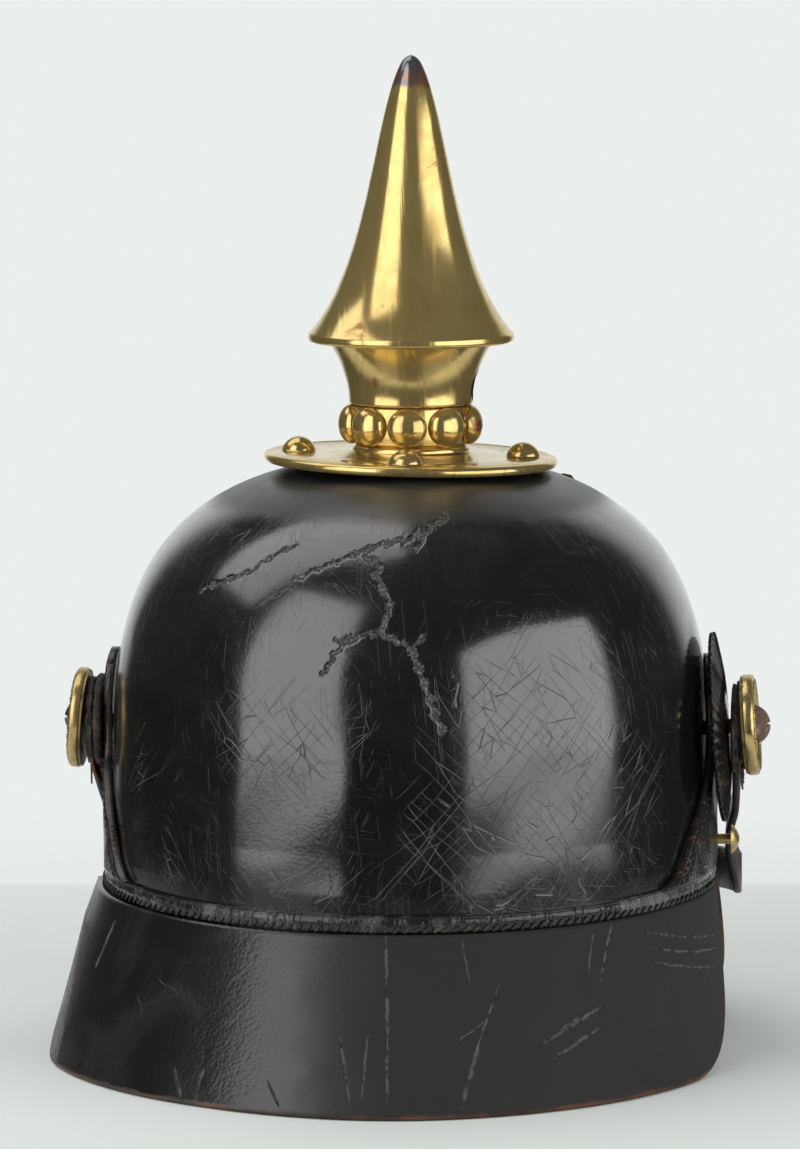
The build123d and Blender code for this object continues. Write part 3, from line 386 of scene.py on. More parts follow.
def makeVisorLeather(name, marks):
    material, tree, shader, coords = startMaterial(name)
    grain = groupIn(tree, pebble, {"Vector": coords, "Scale": visorLook["grainScale"],
                                   "Patchiness": 0.45})["Height"]
    rim = put(tree, "ShaderNodeAttribute", attribute_name="rim").outputs["Fac"]
    crumbs = sums(tree, "MULTIPLY", noiseOf(tree, coords, 130.0, 6.0, 0.7), 0.55)
    wear = spread(tree, sums(tree, "ADD", rim, crumbs), *visorLook["wearEdge"])
    rust = spread(tree, noiseOf(tree, coords, 55.0, 4.0), 0.4, 0.62)
    clouds = groupIn(tree, mottle, {"Vector": coords, "Scale": 30.0, "Low": 0.38, "High": 0.7})["Mask"]
    black = mixed(tree, clouds, visorLook["black"], visorLook["faded"])
    cuts = scratchesIn(tree, coords, marks, 0.0011, 260.0) if marks else sums(tree, "MULTIPLY", rim, 0.0)
    cracks = groupIn(tree, crackle, {"Vector": vectorSums(tree, "MULTIPLY", coords, (0.5, 0.5, 1.0)),
                                     "Scale": 170.0, "Width": 0.018, "Warp": 0.01, "Cover": 0.3,
                                     "Lean": 0.5})["Mask"]
    marked = mixed(tree, sums(tree, "MULTIPLY", cracks, 0.6), black, visorLook["crackShade"])
    broken = spread(tree, noiseOf(tree, coords, 420.0, 3.0), 0.35, 0.6)
    marked = mixed(tree, sums(tree, "MULTIPLY", cuts, broken), marked, visorLook["cutShade"])
    raw = mixed(tree, rust, visorLook["rawDark"], visorLook["raw"])
    tree.links.new(mixed(tree, wear, marked, raw), shader.inputs["Base Color"])
    across = put(tree, "ShaderNodeSeparateXYZ", {0: coords}).outputs["X"]
    across = sums(tree, "ADD", across, sums(tree, "MULTIPLY", noiseOf(tree, coords, 18.0, 3.0), 0.03))
    rubbed = spread(tree, across, *visorLook["rubbed"])
    rough = sums(tree, "ADD", spread(tree, clouds, 0.0, 1.0, *visorLook["gloss"]), rubbed)
    rough = sums(tree, "ADD", rough, sums(tree, "MULTIPLY", sums(tree, "MAXIMUM", cuts, wear), 0.3))
    tree.links.new(rough, shader.inputs["Roughness"])
    under = bump(tree, shader, grain, visorLook["grainDepth"], 0.55)
    sunk = sums(tree, "MAXIMUM", cuts, sums(tree, "MULTIPLY", cracks, 0.3))
    bump(tree, shader, sums(tree, "SUBTRACT", 0.0, sunk), visorLook["cutDepth"], 0.8, under)
    shader.inputs["Specular IOR Level"].default_value = 0.66
    return material


def makeLeather(name, look):
    material, tree, shader, coords = startMaterial(name)
    stretched = vectorSums(tree, "MULTIPLY", coords, look.get("stretch", (1, 1, 1)))
    cracks = groupIn(tree, crackle, {"Vector": stretched, "Scale": look.get("crackScale", 220.0),
                                     "Width": 0.03, "Warp": 0.005, "Cover": look.get("cracks", 0.4),
                                     "Lean": look.get("crackLean", 0.6)})["Mask"]
    grain = groupIn(tree, pebble, {"Vector": coords, "Scale": look.get("grain", 900.0),
                                   "Patchiness": 0.5})["Height"]
    worn = groupIn(tree, mottle, {"Vector": coords, "Scale": look.get("wornScale", 60.0),
                                  "Low": look["worn"][0], "High": look["worn"][1]})["Mask"]
    colour = mixed(tree, worn, look["colour"], look["wornColour"])
    colour = mixed(tree, sums(tree, "MULTIPLY", cracks, 0.6), colour, look["crackColour"])
    if "rawEdge" in look:
        edge = put(tree, "ShaderNodeAttribute", attribute_name="edge").outputs["Fac"]
        patchy = sums(tree, "MULTIPLY", edge, spread(tree, noiseOf(tree, coords, 260.0, 4.0), 0.42, 0.6))
        colour = mixed(tree, patchy, colour, look["rawEdge"])
    tree.links.new(colour, shader.inputs["Base Color"])
    rough = sums(tree, "ADD", spread(tree, worn, 0.0, 1.0, *look["gloss"]),
                 sums(tree, "MULTIPLY", cracks, 0.15))
    tree.links.new(rough, shader.inputs["Roughness"])
    under = bump(tree, shader, grain, look.get("grainDepth", 0.0002), 0.5)
    bump(tree, shader, sums(tree, "SUBTRACT", 0.0, cracks), 0.0003, 0.7, under)
    return material


def makeBrass(name, look):
    material, tree, shader, coords = startMaterial(name)
    clouds = groupIn(tree, mottle, {"Vector": coords, "Scale": 45.0, "Low": 0.3, "High": 0.75,
                                    "Warp": 1.2})["Mask"]
    spots = groupIn(tree, mottle, {"Vector": coords, "Scale": look.get("spotScale", 95.0),
                                   "Low": look["spots"][0], "High": look["spots"][1], "Warp": 1.0})["Mask"]
    hairs = groupIn(tree, hairlines, {"Vector": coords, "Lean": 0.05, "Length": 0.03, "Spacing": 0.0014,
                                      "Level": 0.58})["Mask"]
    colour = mixed(tree, clouds, look["bright"], look["aged"])
    colour = mixed(tree, spots, colour, look["tarnish"])
    if "tipHeight" in look:
        height = put(tree, "ShaderNodeSeparateXYZ", {0: coords}).outputs["Z"]
        ragged = sums(tree, "ADD", height, sums(tree, "MULTIPLY", noiseOf(tree, coords, 160.0), 0.008))
        tip = spread(tree, ragged, look["tipHeight"], look["tipHeight"] + 0.003)
        patches = spread(tree, noiseOf(tree, coords, 190.0), 0.42, 0.55)
        greyish = mixed(tree, patches, look["tipCopper"], look["tipGrey"])
        colour = mixed(tree, tip, colour, greyish)
    tree.links.new(colour, shader.inputs["Base Color"])
    shader.inputs["Metallic"].default_value = look.get("metallic", 0.82)
    rough = spread(tree, clouds, 0.0, 1.0, *look["gloss"])
    rough = sums(tree, "ADD", rough, sums(tree, "MULTIPLY", spots, 0.16))
    tree.links.new(sums(tree, "ADD", rough, sums(tree, "MULTIPLY", hairs, 0.05)), shader.inputs["Roughness"])
    dents = noiseOf(tree, coords, 60.0, 3.0)
    under = bump(tree, shader, dents, look.get("dents", 0.00012), 0.5)
    bump(tree, shader, sums(tree, "ADD", hairs, spots), 0.00002, 0.5, under)
    return material


steelGloss = (0.34, 0.75)  # clean and rusted


def makeSteel(name, look):
    material, tree, shader, coords = startMaterial(name)
    rust = groupIn(tree, mottle, {"Vector": coords, "Scale": 170.0, "Low": look["rust"][0],
                                  "High": look["rust"][1], "Warp": 1.0})["Mask"]
    shades = mixed(tree, noiseOf(tree, coords, 600.0), look["rustDark"], look["rustPale"])
    tree.links.new(mixed(tree, rust, look["metal"], shades), shader.inputs["Base Color"])
    tree.links.new(sums(tree, "SUBTRACT", 1.0, sums(tree, "MULTIPLY", rust, 0.95)), shader.inputs["Metallic"])
    tree.links.new(spread(tree, rust, 0.0, 1.0, *steelGloss), shader.inputs["Roughness"])
    pits = sums(tree, "MULTIPLY", noiseOf(tree, coords, 900.0, 5.0, 0.7), sums(tree, "ADD", rust, 0.2))
    bump(tree, shader, pits, 0.0004, 0.7)
    return material


paintScuff = (0.03, 0.02, 0.015)
paintClouds = 34.0
paintGloss = (0.35, 0.6)


def makePaint(name, first, second):
    material, tree, shader, coords = startMaterial(name)
    fade = groupIn(tree, mottle, {"Vector": coords, "Scale": paintClouds, "Low": 0.35, "High": 0.7})["Mask"]
    scuffs = groupIn(tree, crackle, {"Vector": coords, "Scale": 150.0, "Width": 0.03, "Warp": 0.006,
                                     "Cover": 0.4})
    colour = mixed(tree, fade, first, second)
    colour = mixed(tree, sums(tree, "MULTIPLY", scuffs["Mask"], 0.7), colour, paintScuff)
    tree.links.new(colour, shader.inputs["Base Color"])
    tree.links.new(spread(tree, fade, 0.0, 1.0, *paintGloss), shader.inputs["Roughness"])
    grain = groupIn(tree, pebble, {"Vector": coords, "Scale": 800.0, "Patchiness": 0.4})["Height"]
    bump(tree, shader, grain, 0.0002, 0.5)
    return material


lacquer = makeLacquer()
rearVisorLeather = makeVisorLeather("rearVisorLeather", visorMarks)
frontVisorLeather = makeVisorLeather("frontVisorLeather", None)
redPaint = makePaint("redVisorLining", (0.19, 0.018, 0.014), (0.12, 0.012, 0.01))
greenPaint = makePaint("greenVisorLining", (0.022, 0.07, 0.03), (0.016, 0.045, 0.022))
weltLeather = makeLeather("weltLeather",
                          {"colour": (0.014, 0.013, 0.012), "wornColour": (0.13, 0.125, 0.12),
                           "crackColour": (0.006, 0.005, 0.005), "gloss": (0.14, 0.3), "worn": (0.44, 0.6),
                           "cracks": 0.7, "crackScale": 150.0, "crackLean": 0.1, "stretch": (1, 1, 0.3),
                           "wornScale": 34.0, "grainDepth": 0.00014})
patchLeather = makeLeather("patchLeather",
                           {"colour": (0.011, 0.0105, 0.01), "wornColour": (0.03, 0.022, 0.018),
                            "crackColour": (0.05, 0.04, 0.032), "gloss": (0.2, 0.4), "worn": (0.55, 0.8),
                            "cracks": 0.42, "crackScale": 200.0, "rawEdge": (0.034, 0.02, 0.013),
                            "stretch": (1, 1, 0.3)})
strapLeather = makeLeather("strapLeather",
                           {"colour": (0.017, 0.014, 0.012), "wornColour": (0.06, 0.038, 0.026),
                            "crackColour": (0.09, 0.06, 0.04), "gloss": (0.34, 0.6), "worn": (0.46, 0.72),
                            "cracks": 0.46, "crackScale": 320.0})
roughLeather = makeLeather("roughLeather",
                           {"colour": (0.016, 0.012, 0.009), "wornColour": (0.085, 0.055, 0.036),
                            "crackColour": (0.008, 0.006, 0.005), "gloss": (0.5, 0.85), "worn": (0.42, 0.66),
                            "cracks": 0.6, "crackScale": 420.0, "wornScale": 150.0, "grainDepth": 0.0006})
liningLeather = makeLeather("liningLeather",
                            {"colour": (0.27, 0.15, 0.08), "wornColour": (0.13, 0.07, 0.04),
                             "crackColour": (0.07, 0.035, 0.02), "gloss": (0.5, 0.75), "worn": (0.42, 0.74),
                             "cracks": 0.34, "crackScale": 200.0, "wornScale": 34.0})
cockadeLeather = makeLeather("cockadeLeather",
                             {"colour": (0.0095, 0.009, 0.009), "wornColour": (0.025, 0.02, 0.017),
                              "crackColour": (0.03, 0.027, 0.025), "gloss": (0.12, 0.3), "worn": (0.52, 0.8),
                              "cracks": 0.3})
polishedBrass = makeBrass("polishedBrass",
                          {"bright": (0.7, 0.52, 0.2), "aged": (0.5, 0.35, 0.12),
                           "tarnish": (0.27, 0.12, 0.05), "spots": (0.6, 0.72), "gloss": (0.13, 0.2)})
spikeBrass = makeBrass("spikeBrass",
                       {"bright": (0.72, 0.54, 0.21), "aged": (0.56, 0.39, 0.13),
                        "tarnish": (0.36, 0.2, 0.07), "spots": (0.62, 0.74), "gloss": (0.14, 0.2),
                        "tipHeight": 0.2955, "tipCopper": (0.42, 0.2, 0.12), "tipGrey": (0.2, 0.21, 0.22)})
satinBrass = makeBrass("satinBrass",
                       {"bright": (0.62, 0.47, 0.2), "aged": (0.46, 0.32, 0.13),
                        "tarnish": (0.14, 0.085, 0.04), "spots": (0.54, 0.7), "gloss": (0.2, 0.36),
                        "spotScale": 150.0})
dullBrass = makeBrass("dullBrass",
                      {"bright": (0.4, 0.29, 0.13), "aged": (0.26, 0.18, 0.08),
                       "tarnish": (0.08, 0.06, 0.035), "spots": (0.5, 0.66), "gloss": (0.4, 0.6)})
# Painted shade: the disc's underside is its brass darkened almost to black, standing in for the shade under
# the disc, which also keeps its reflection out of the lacquer below
discUndersidePaintedShade = makeBrass("discUndersidePaintedShade",
                          {"bright": (0.09, 0.062, 0.026), "aged": (0.05, 0.036, 0.018),
                           "tarnish": (0.03, 0.02, 0.012), "spots": (0.5, 0.66), "gloss": (0.45, 0.65)})
greySteel = makeSteel("greySteel",
                      {"metal": (0.22, 0.22, 0.225), "rust": (0.56, 0.72), "rustDark": (0.05, 0.03, 0.02),
                       "rustPale": (0.12, 0.07, 0.045)})
rustySteel = makeSteel("rustySteel",
                       {"metal": (0.3, 0.26, 0.22), "rust": (0.34, 0.56), "rustDark": (0.06, 0.024, 0.013),
                        "rustPale": (0.19, 0.1, 0.06)})
tornLeather = makeLeather("tornLeather",
                          {"colour": (0.12, 0.045, 0.022), "wornColour": (0.045, 0.02, 0.012),
                           "crackColour": (0.02, 0.01, 0.007), "gloss": (0.5, 0.75), "worn": (0.4, 0.66),
                           "cracks": 0.5, "crackScale": 420.0, "wornScale": 120.0, "grainDepth": 0.0004})
waxedThread = makeLeather("waxedThread",
                          {"colour": (0.012, 0.011, 0.01), "wornColour": (0.06, 0.05, 0.04),
                           "crackColour": (0.09, 0.07, 0.055), "gloss": (0.5, 0.7), "worn": (0.5, 0.7),
                           "wornScale": 200.0})
print("materials made")


# Mesh helpers
def meshPiece(name, points, faces, materials, body="helmet", slot=None, faceSlots=None, attributes=None):
    mesh = bpy.data.meshes.new(name)
    mesh.from_pydata([tuple(p) for p in points], [], [tuple(int(i) for i in f) for f in faces])
    for material in materials:
        mesh.materials.append(material)
    if faceSlots is not None:
        mesh.polygons.foreach_set("material_index", np.asarray(faceSlots, np.int32))
    mesh.polygons.foreach_set("use_smooth", np.full(len(mesh.polygons), True))
    for label, values in (attributes or {}).items():
        values = np.asarray(values, np.float32)
        if values.ndim == 2:
            mesh.attributes.new(label, "FLOAT_VECTOR", "POINT").data.foreach_set("vector", values.ravel())
        else:
            mesh.attributes.new(label, "FLOAT", "POINT").data.foreach_set("value", values)
    shell = bmesh.new()
    shell.from_mesh(mesh)
    bmesh.ops.recalc_face_normals(shell, faces=shell.faces)
    shell.to_mesh(mesh)
    shell.free()
    piece = bpy.data.objects.new(name, mesh)
    bpy.context.scene.collection.objects.link(piece)
    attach(piece, body)
    return piece


def gridFaces(rows, columns, closeColumns=False, closeRows=False, first=0, flip=False):
    columnCount = columns if closeColumns else columns - 1
    rowCount = rows if closeRows else rows - 1
    row, column = np.meshgrid(np.arange(rowCount), np.arange(columnCount), indexing="ij")
    nextRow = (row + 1) % rows
    nextColumn = (column + 1) % columns
    corners = [row * columns + column, row * columns + nextColumn, nextRow * columns + nextColumn,
               nextRow * columns + column]
    faces = np.stack([c.ravel() for c in corners], axis=1) + first
    return faces[:, ::-1] if flip else faces


def lathePoints(profile, segments, place=Matrix.Identity(4)):
    angles = np.linspace(0, 2 * math.pi, segments, endpoint=False)
    radius = np.array([p[0] for p in profile])[:, None]
    height = np.array([p[1] for p in profile])[:, None]
    points = np.stack([radius * np.cos(angles), radius * np.sin(angles), np.repeat(height, segments, 1)],
                      axis=-1)
    points = points.reshape(-1, 3)
    turned = np.array(place.to_3x3())
    return points @ turned.T + np.array(place.translation)


def lathe(name, profile, material, segments=128, place=Matrix.Identity(4), **more):
    points = lathePoints(profile, segments, place)
    faces = gridFaces(len(profile), segments, closeColumns=True, closeRows=True)
    return meshPiece(name, points, faces, [material], **more)


def bezier(points, count):
    share = np.linspace(0, 1, count)
    degree = len(points) - 1
    out = np.zeros((count, 2))
    for index, point in enumerate(points):
        weight = math.comb(degree, index) * (1 - share) ** (degree - index) * share**index
        out += weight[:, None] * np.array(point)
    return out


def resample(line, step):
    line = np.asarray(line, float)
    gaps = np.hypot(*np.diff(line, axis=0).T)
    run = np.concatenate([[0], np.cumsum(gaps)])
    count = max(2, int(run[-1] / step) + 1)
    marks = np.linspace(0, run[-1], count)
    return np.stack([np.interp(marks, run, line[:, i]) for i in range(line.shape[1])], axis=1)


def rounded(corners, radii, steps=5):
    out = []
    count = len(corners)
    for index in range(count):
        before, here, after = (np.array(corners[(index + k) % count], float) for k in (-1, 0, 1))
        size = radii[index]
        toBefore = (before - here) / np.linalg.norm(before - here)
        toAfter = (after - here) / np.linalg.norm(after - here)
        for share in np.linspace(0, 1, steps):
            out.append(tuple(here + toBefore * size * (1 - share) ** 2 + toAfter * size * share**2))
    return out


ribbonSection = [(-0.5, -0.3), (-0.47, -0.5), (-0.25, -0.5), (0, -0.5), (0.25, -0.5), (0.47, -0.5),
                 (0.5, -0.3), (0.5, 0.3), (0.47, 0.5), (0.25, 0.54), (0, 0.56), (-0.25, 0.54), (-0.47, 0.5),
                 (-0.5, 0.3)]


def addRibbon(points, faces, path, wide, width, thick):
    path = np.asarray(path, float)
    count = len(path)
    tangent = np.gradient(path, axis=0)
    tangent /= np.linalg.norm(tangent, axis=1, keepdims=True)
    wide = np.broadcast_to(np.asarray(wide, float), path.shape)
    wide = wide - tangent * np.sum(wide * tangent, axis=1, keepdims=True)
    wide = wide / np.linalg.norm(wide, axis=1, keepdims=True)
    out = np.cross(tangent, wide)
    width = np.broadcast_to(np.asarray(width, float), (count,))
    thick = np.broadcast_to(np.asarray(thick, float), (count,))
    base = len(points)
    sides = len(ribbonSection)
    for row in range(count):
        for across, up in ribbonSection:
            points.append(path[row] + wide[row] * across * width[row] + out[row] * up * thick[row])
    faces.extend(tuple(f) for f in gridFaces(count, sides, closeColumns=True, first=base))
    faces.append(tuple(range(base, base + sides)))
    faces.append(tuple(range(base + (count - 1) * sides, base + count * sides)))


def addPolar(points, faces, rows, place):
    # rows of (radius, height), each one number or one per angle, round a closed section
    columns = max(np.size(r) for r, _ in rows + [(h, 0) for _, h in rows])
    angles = np.linspace(0, 2 * math.pi, columns, endpoint=False)
    turned = np.array(place.to_3x3())
    base = len(points)
    for radius, height in rows:
        ring = np.stack([radius * np.cos(angles), radius * np.sin(angles),
                         np.broadcast_to(height, angles.shape)], axis=-1)
        points.extend(ring @ turned.T + np.array(place.translation))
    faces.extend(tuple(f) for f in gridFaces(len(rows), columns, closeColumns=True, closeRows=True,
                                             first=base))


# Surfaces that the pieces follow, the same as in the CAD, in mm
shape = {"halfWidth": 91.4, "halfLength": 108.0, "brim": 47.0, "wallTop": 100.0, "crown": 180.4,
         "seamOutset": 0.2}
lengthShare = shape["halfLength"] / shape["halfWidth"]


def shoulder(outset=0.0, count=400):
    width = shape["halfWidth"] + outset
    rise = shape["crown"] + outset - shape["wallTop"]
    foot = shape["wallTop"]
    return bezier([(width, foot), (width, foot + rise * 0.319), (width * 0.929, foot + rise * 0.779),
                   (width * 0.618, foot + rise), (0, foot + rise)], count)


def widthAt(height, outset=0.0):
    line = shoulder(outset)
    return np.where(np.asarray(height) <= shape["wallTop"], shape["halfWidth"] + outset,
                    np.interp(height, line[:, 1], line[:, 0]))


def softDents(x, y, z, size=0.35):
    return size * (np.sin(x * 0.061 + 1.3) * np.sin(z * 0.083 + 0.4) + 0.6 * np.sin(y * 0.09 + z * 0.05)
                   + 0.35 * np.sin(x * 0.17 - z * 0.13 + 2.0))


# Shell: lacquered leather with the tears of age
shellLook = {"step": 0.6, "columnStep": 0.34, "innerStep": 4.0, "rearArc": (-158, -22), "frontColumns": 110,
             "ventRadius": 9.0, "leather": 3.0, "ovalReach": 30.0, "tearDepth": 0.36, "tearWidth": 0.62,
             "lipRise": 0.16, "dents": 0.5, "sunk": 0.25, "smoothUpTo": (60, 72)}
# tears seen from behind, as x, z in mm, with the half width of each run
tears = [
    ([(-57.1, 145.7), (-51.0, 148.6), (-45.5, 150.8), (-41.0, 152.6), (-37.5, 155.2), (-33.0, 158.0),
      (-27.0, 160.6)], 0.55),
    ([(-8.5, 158.9), (-2.8, 160.9), (6.5, 162.6), (13.5, 166.0), (16.9, 168.5)], 0.95),
    ([(-27.0, 151.0), (-19.5, 154.6), (-12.5, 157.4), (-8.5, 158.9)], 0.4),
    ([(12.4, 166.5), (11.0, 163.0), (9.2, 160.0)], 0.8),
    ([(-5.5, 158.0), (-1.0, 155.6), (-2.6, 153.6), (0.2, 149.2), (2.5, 145.4), (1.3, 140.4),
      (-1.0, 137.3)], 1.1),
    ([(-1.0, 137.3), (-5.6, 136.9), (-8.8, 135.2), (-13.7, 130.8), (-14.3, 128.6), (-16.6, 125.6)], 0.85),
    ([(-9.5, 136.0), (-13.2, 134.9)], 0.7),
    ([(-1.0, 137.3), (4.4, 135.6), (9.6, 133.3), (11.2, 128.9), (14.4, 121.1), (16.9, 113.6),
      (19.6, 108.4)], 1.15),
    ([(10.4, 134.0), (13.2, 136.4)], 0.9),
]


def tearDistance(x, z, run):
    best = np.full(x.shape, 1e9)
    for (ax, az), (bx, bz) in zip(run[:-1], run[1:]):
        dx, dz = bx - ax, bz - az
        share = np.clip(((x - ax) * dx + (z - az) * dz) / (dx * dx + dz * dz), 0, 1)
        best = np.minimum(best, np.hypot(x - ax - share * dx, z - az - share * dz))
    return best


def makeShell():
    look = shellLook
    wall = [(shape["halfWidth"], z) for z in np.arange(shape["brim"], shape["wallTop"], 0.75)]
    outer = np.concatenate([wall, shoulder()])
    outer = outer[outer[:, 0] >= look["ventRadius"]]
    outer = resample(outer, look["step"])
    inner = np.concatenate([[(shape["halfWidth"] - look["leather"], shape["brim"])],
                            shoulder(-look["leather"])])
    inner = resample(inner, look["innerStep"])
    inner = inner[inner[:, 0] >= look["ventRadius"]][::-1]
    profile = np.concatenate([outer, inner])
    rearFrom, rearTo = look["rearArc"]
    rear = np.radians(np.arange(rearFrom, rearTo, look["columnStep"]))
    front = np.radians(np.linspace(rearTo, rearFrom + 360, look["frontColumns"], endpoint=False))
    angles = np.concatenate([rear, front])
    # round at the vent, and oval from there outwards
    stretch = np.clip((profile[:, 0] - look["ventRadius"]) / look["ovalReach"], 0, 1)
    stretch = 1 + (lengthShare - 1) * stretch * stretch * (3 - 2 * stretch)
    x = profile[:, 0][:, None] * np.cos(angles)
    y = (profile[:, 0] * stretch)[:, None] * np.sin(angles)
    z = np.repeat(profile[:, 1][:, None], len(angles), 1)
    isOuter = (np.arange(len(profile)) < len(outer))[:, None]
    rise = shape["crown"] - shape["wallTop"]
    above = np.maximum(z - shape["wallTop"], 0)
    normal = np.stack([x / shape["halfWidth"]**2, y / shape["halfLength"]**2, above / rise**2], axis=-1)
    normal /= np.linalg.norm(normal, axis=-1, keepdims=True) + 1e-9
    wobbleX = 0.9 * np.sin(z * 1.7 + x * 0.6) + 0.5 * np.sin(z * 4.3 - x * 1.9)
    wobbleZ = 0.8 * np.sin(x * 1.5 - z * 0.7) + 0.5 * np.sin(x * 3.9 + z * 2.3)
    torn = np.zeros_like(x)
    lips = np.zeros_like(x)
    for run, width in tears:
        width *= look["tearWidth"]
        gap = tearDistance(x + wobbleX * 0.5, z + wobbleZ * 0.5, run)
        torn = np.maximum(torn, np.clip(1 - gap / (2.4 * width), 0, 1))
        lips = np.maximum(lips, np.exp(-(((gap - width * 1.5) / (width * 0.7)) ** 2)))
    behind = (y < 0) & isOuter
    torn = np.where(behind, torn, 0)
    lips = np.where(behind, lips, 0)
    fall = softDents(x, y, z) * look["dents"] - look["tearDepth"] * torn + look["lipRise"] * lips
    fall = np.where(isOuter, fall - look["sunk"], 0)
    run = np.concatenate([[0], np.cumsum(np.hypot(*np.diff(profile, axis=0).T))])
    unrolled = np.stack([np.repeat(((angles + math.pi / 2) * 0.1)[None], len(profile), 0), np.zeros_like(x),
                         np.repeat((run * mm)[:, None], len(angles), 1)], axis=-1)
    smoothFrom, smoothTo = look["smoothUpTo"]
    edge = np.clip((z - smoothFrom) / (smoothTo - smoothFrom), 0, 1)
    points = np.stack([x, y, z], axis=-1) + normal * (fall * edge)[..., None]
    faces = gridFaces(len(profile), len(angles), closeColumns=True, closeRows=True)
    piece = meshPiece("shellSkin", points.reshape(-1, 3) * mm, faces, [lacquer], slot="lacquered_leather",
                      attributes={"torn": torn.ravel(), "unrolled": unrolled.reshape(-1, 3)})
    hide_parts("shell")


makeShell()
print("shell made")


# Visors: flared aprons with a worn lower edge
visors = {
    "rear": {"node": "rear_visor", "facing": -1, "half": 104.0, "length": 130.0, "shift": 13.0, "end": 6.0,
             "run": 39.0, "corner": 56.0, "leftCorner": 20.0, "leftSpread": 3.2, "leftFlare": 3.4,
             "leather": rearVisorLeather, "under": redPaint, "columns": 520},
    "front": {"node": "front_visor", "facing": 1, "half": 100.0, "length": 130.0, "shift": 13.0, "end": 5.0,
              "run": 46.0, "corner": 100.0, "leftCorner": 100.0, "leftSpread": 0.0, "leftFlare": 0.0,
              "leather": frontVisorLeather, "under": greenPaint, "columns": 260},
}
visorTop = 49.3
visorLeatherSize = 3.1
visorMesh = {"outerRows": 84, "rimRows": 9, "innerRows": 30, "rimHeight": 1.3, "wave": 0.5, "rimWear": 5.0}
# where the left side spreads: from this far left, over this far, and how it fades at the top
visorSpread = {"from": 50, "over": 45, "power": 1.2, "topFade": 0.45, "fadeFrom": 0.8}


def visorLow(reach, v, corner):
    slope = math.atan2(visorTop, v["run"])
    start = v["end"] + v["run"]
    run = corner * math.tan(slope / 2)
    tangent = start - run * math.cos(slope)
    line = visorTop * (start - reach) / v["run"]
    across = np.clip(reach - (start + run), -corner, 0)
    arc = corner - np.sqrt(corner**2 - across**2)
    return np.where(reach < tangent, line, np.where(reach < start + run, arc, 0.0))


def visorRows(lowEdge):
    # from the seam down the outside, round the rim and up the inside: how far inward, and the height
    rimTop = lowEdge + visorMesh["rimHeight"]
    rows = [(0.0, visorTop + (rimTop - visorTop) * share)
            for share in np.linspace(0, 1, visorMesh["outerRows"]) ** 0.9]
    for angle in np.linspace(0, math.pi, visorMesh["rimRows"])[1:-1]:
        rows.append(((1 - math.cos(angle)) / 2, lowEdge + visorMesh["rimHeight"] * (1 - math.sin(angle))))
    underFrom = len(rows)
    rows += [(1.0, visorTop + (rimTop - visorTop) * share)
             for share in np.linspace(1, 0, visorMesh["innerRows"])]
    return rows, underFrom


def makeVisor(v):
    topWidth = shape["halfWidth"] + shape["seamOutset"]
    first = math.asin(v["end"] / (topWidth * lengthShare))
    angles = np.linspace(first, math.pi - first, v["columns"])

    def place(z, inward):
        share = z / visorTop
        size = (1 - inward) * visorLeatherSize
        wide = (v["half"] - inward * visorLeatherSize) * (1 - share) + (topWidth + size) * share
        longer = (v["length"] - inward * visorLeatherSize * 1.16) * (1 - share)
        longer = longer + (topWidth + size) * lengthShare * share
        return wide * np.cos(angles), longer * np.sin(angles) + v["shift"] * (1 - share)

    # halve the span again and again until the lower edge is found
    low = np.zeros(len(angles))
    high = np.full(len(angles), visorTop)
    for halving in range(30):
        middle = (low + high) / 2
        x, reach = place(middle, 0.5)
        lowest = np.where(x < 0, visorLow(reach, v, v["leftCorner"]), visorLow(reach, v, v["corner"]))
        above = middle > lowest
        high = np.where(above, middle, high)
        low = np.where(above, low, middle)
    lowEdge = high
    rows, underFrom = visorRows(lowEdge)
    points = []
    rims = []
    for inward, z in rows:
        z = np.minimum(z, visorTop)
        x, y = place(z, inward)
        fadeOver = 1 - visorSpread["fadeFrom"]
        nearTop = np.clip(z / visorTop - visorSpread["fadeFrom"], 0, fadeOver) / fadeOver
        fade = 1 - visorSpread["topFade"] * nearTop
        flare = v["leftFlare"] * np.clip(1 - z / visorTop, 0, 1) ** 2
        leftness = np.clip((-x - visorSpread["from"]) / visorSpread["over"], 0, 1) ** visorSpread["power"]
        drop = (v["leftSpread"] * fade + flare) * leftness
        wave = visorMesh["wave"] * np.sin(x * 0.07 + 1.0) * (1 - z / visorTop)
        points.append(np.stack([x - drop, v["facing"] * (y + wave), z], axis=-1))
        rims.append(np.clip(1 - (z - lowEdge) / visorMesh["rimWear"], 0, 1))
    points = np.array(points)
    rowCount = len(rows)
    faces = gridFaces(rowCount, len(angles), closeRows=True, flip=v["facing"] > 0)
    rowOfFace = np.repeat(np.arange(rowCount), len(angles) - 1)
    faceSlots = np.where((rowOfFace >= underFrom) & (rowOfFace < rowCount - 2), 1, 0)
    piece = meshPiece(v["node"] + "_skin", points.reshape(-1, 3) * mm, faces, [v["leather"], v["under"]],
                      slot="visor_leather", faceSlots=faceSlots, attributes={"rim": np.array(rims).ravel()})
    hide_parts(v["node"])


for v in visors.values():
    makeVisor(v)
print("visors made")


# Bands over the seams, with their stitches
bandLook = {"bottom": 49.5, "height": 5.2, "leather": 2.6, "columns": 900, "stitchStep": 3.3,
            "stitchSize": (0.55, 1.5), "stitchHeight": 1.25, "stitchOutset": 0.02,
            "stitchLean": (0.75, 0.65), "leanSpread": 0.15, "lengthSpread": (0.85, 1.1)}
stitchRings = 7
stitchSides = 6


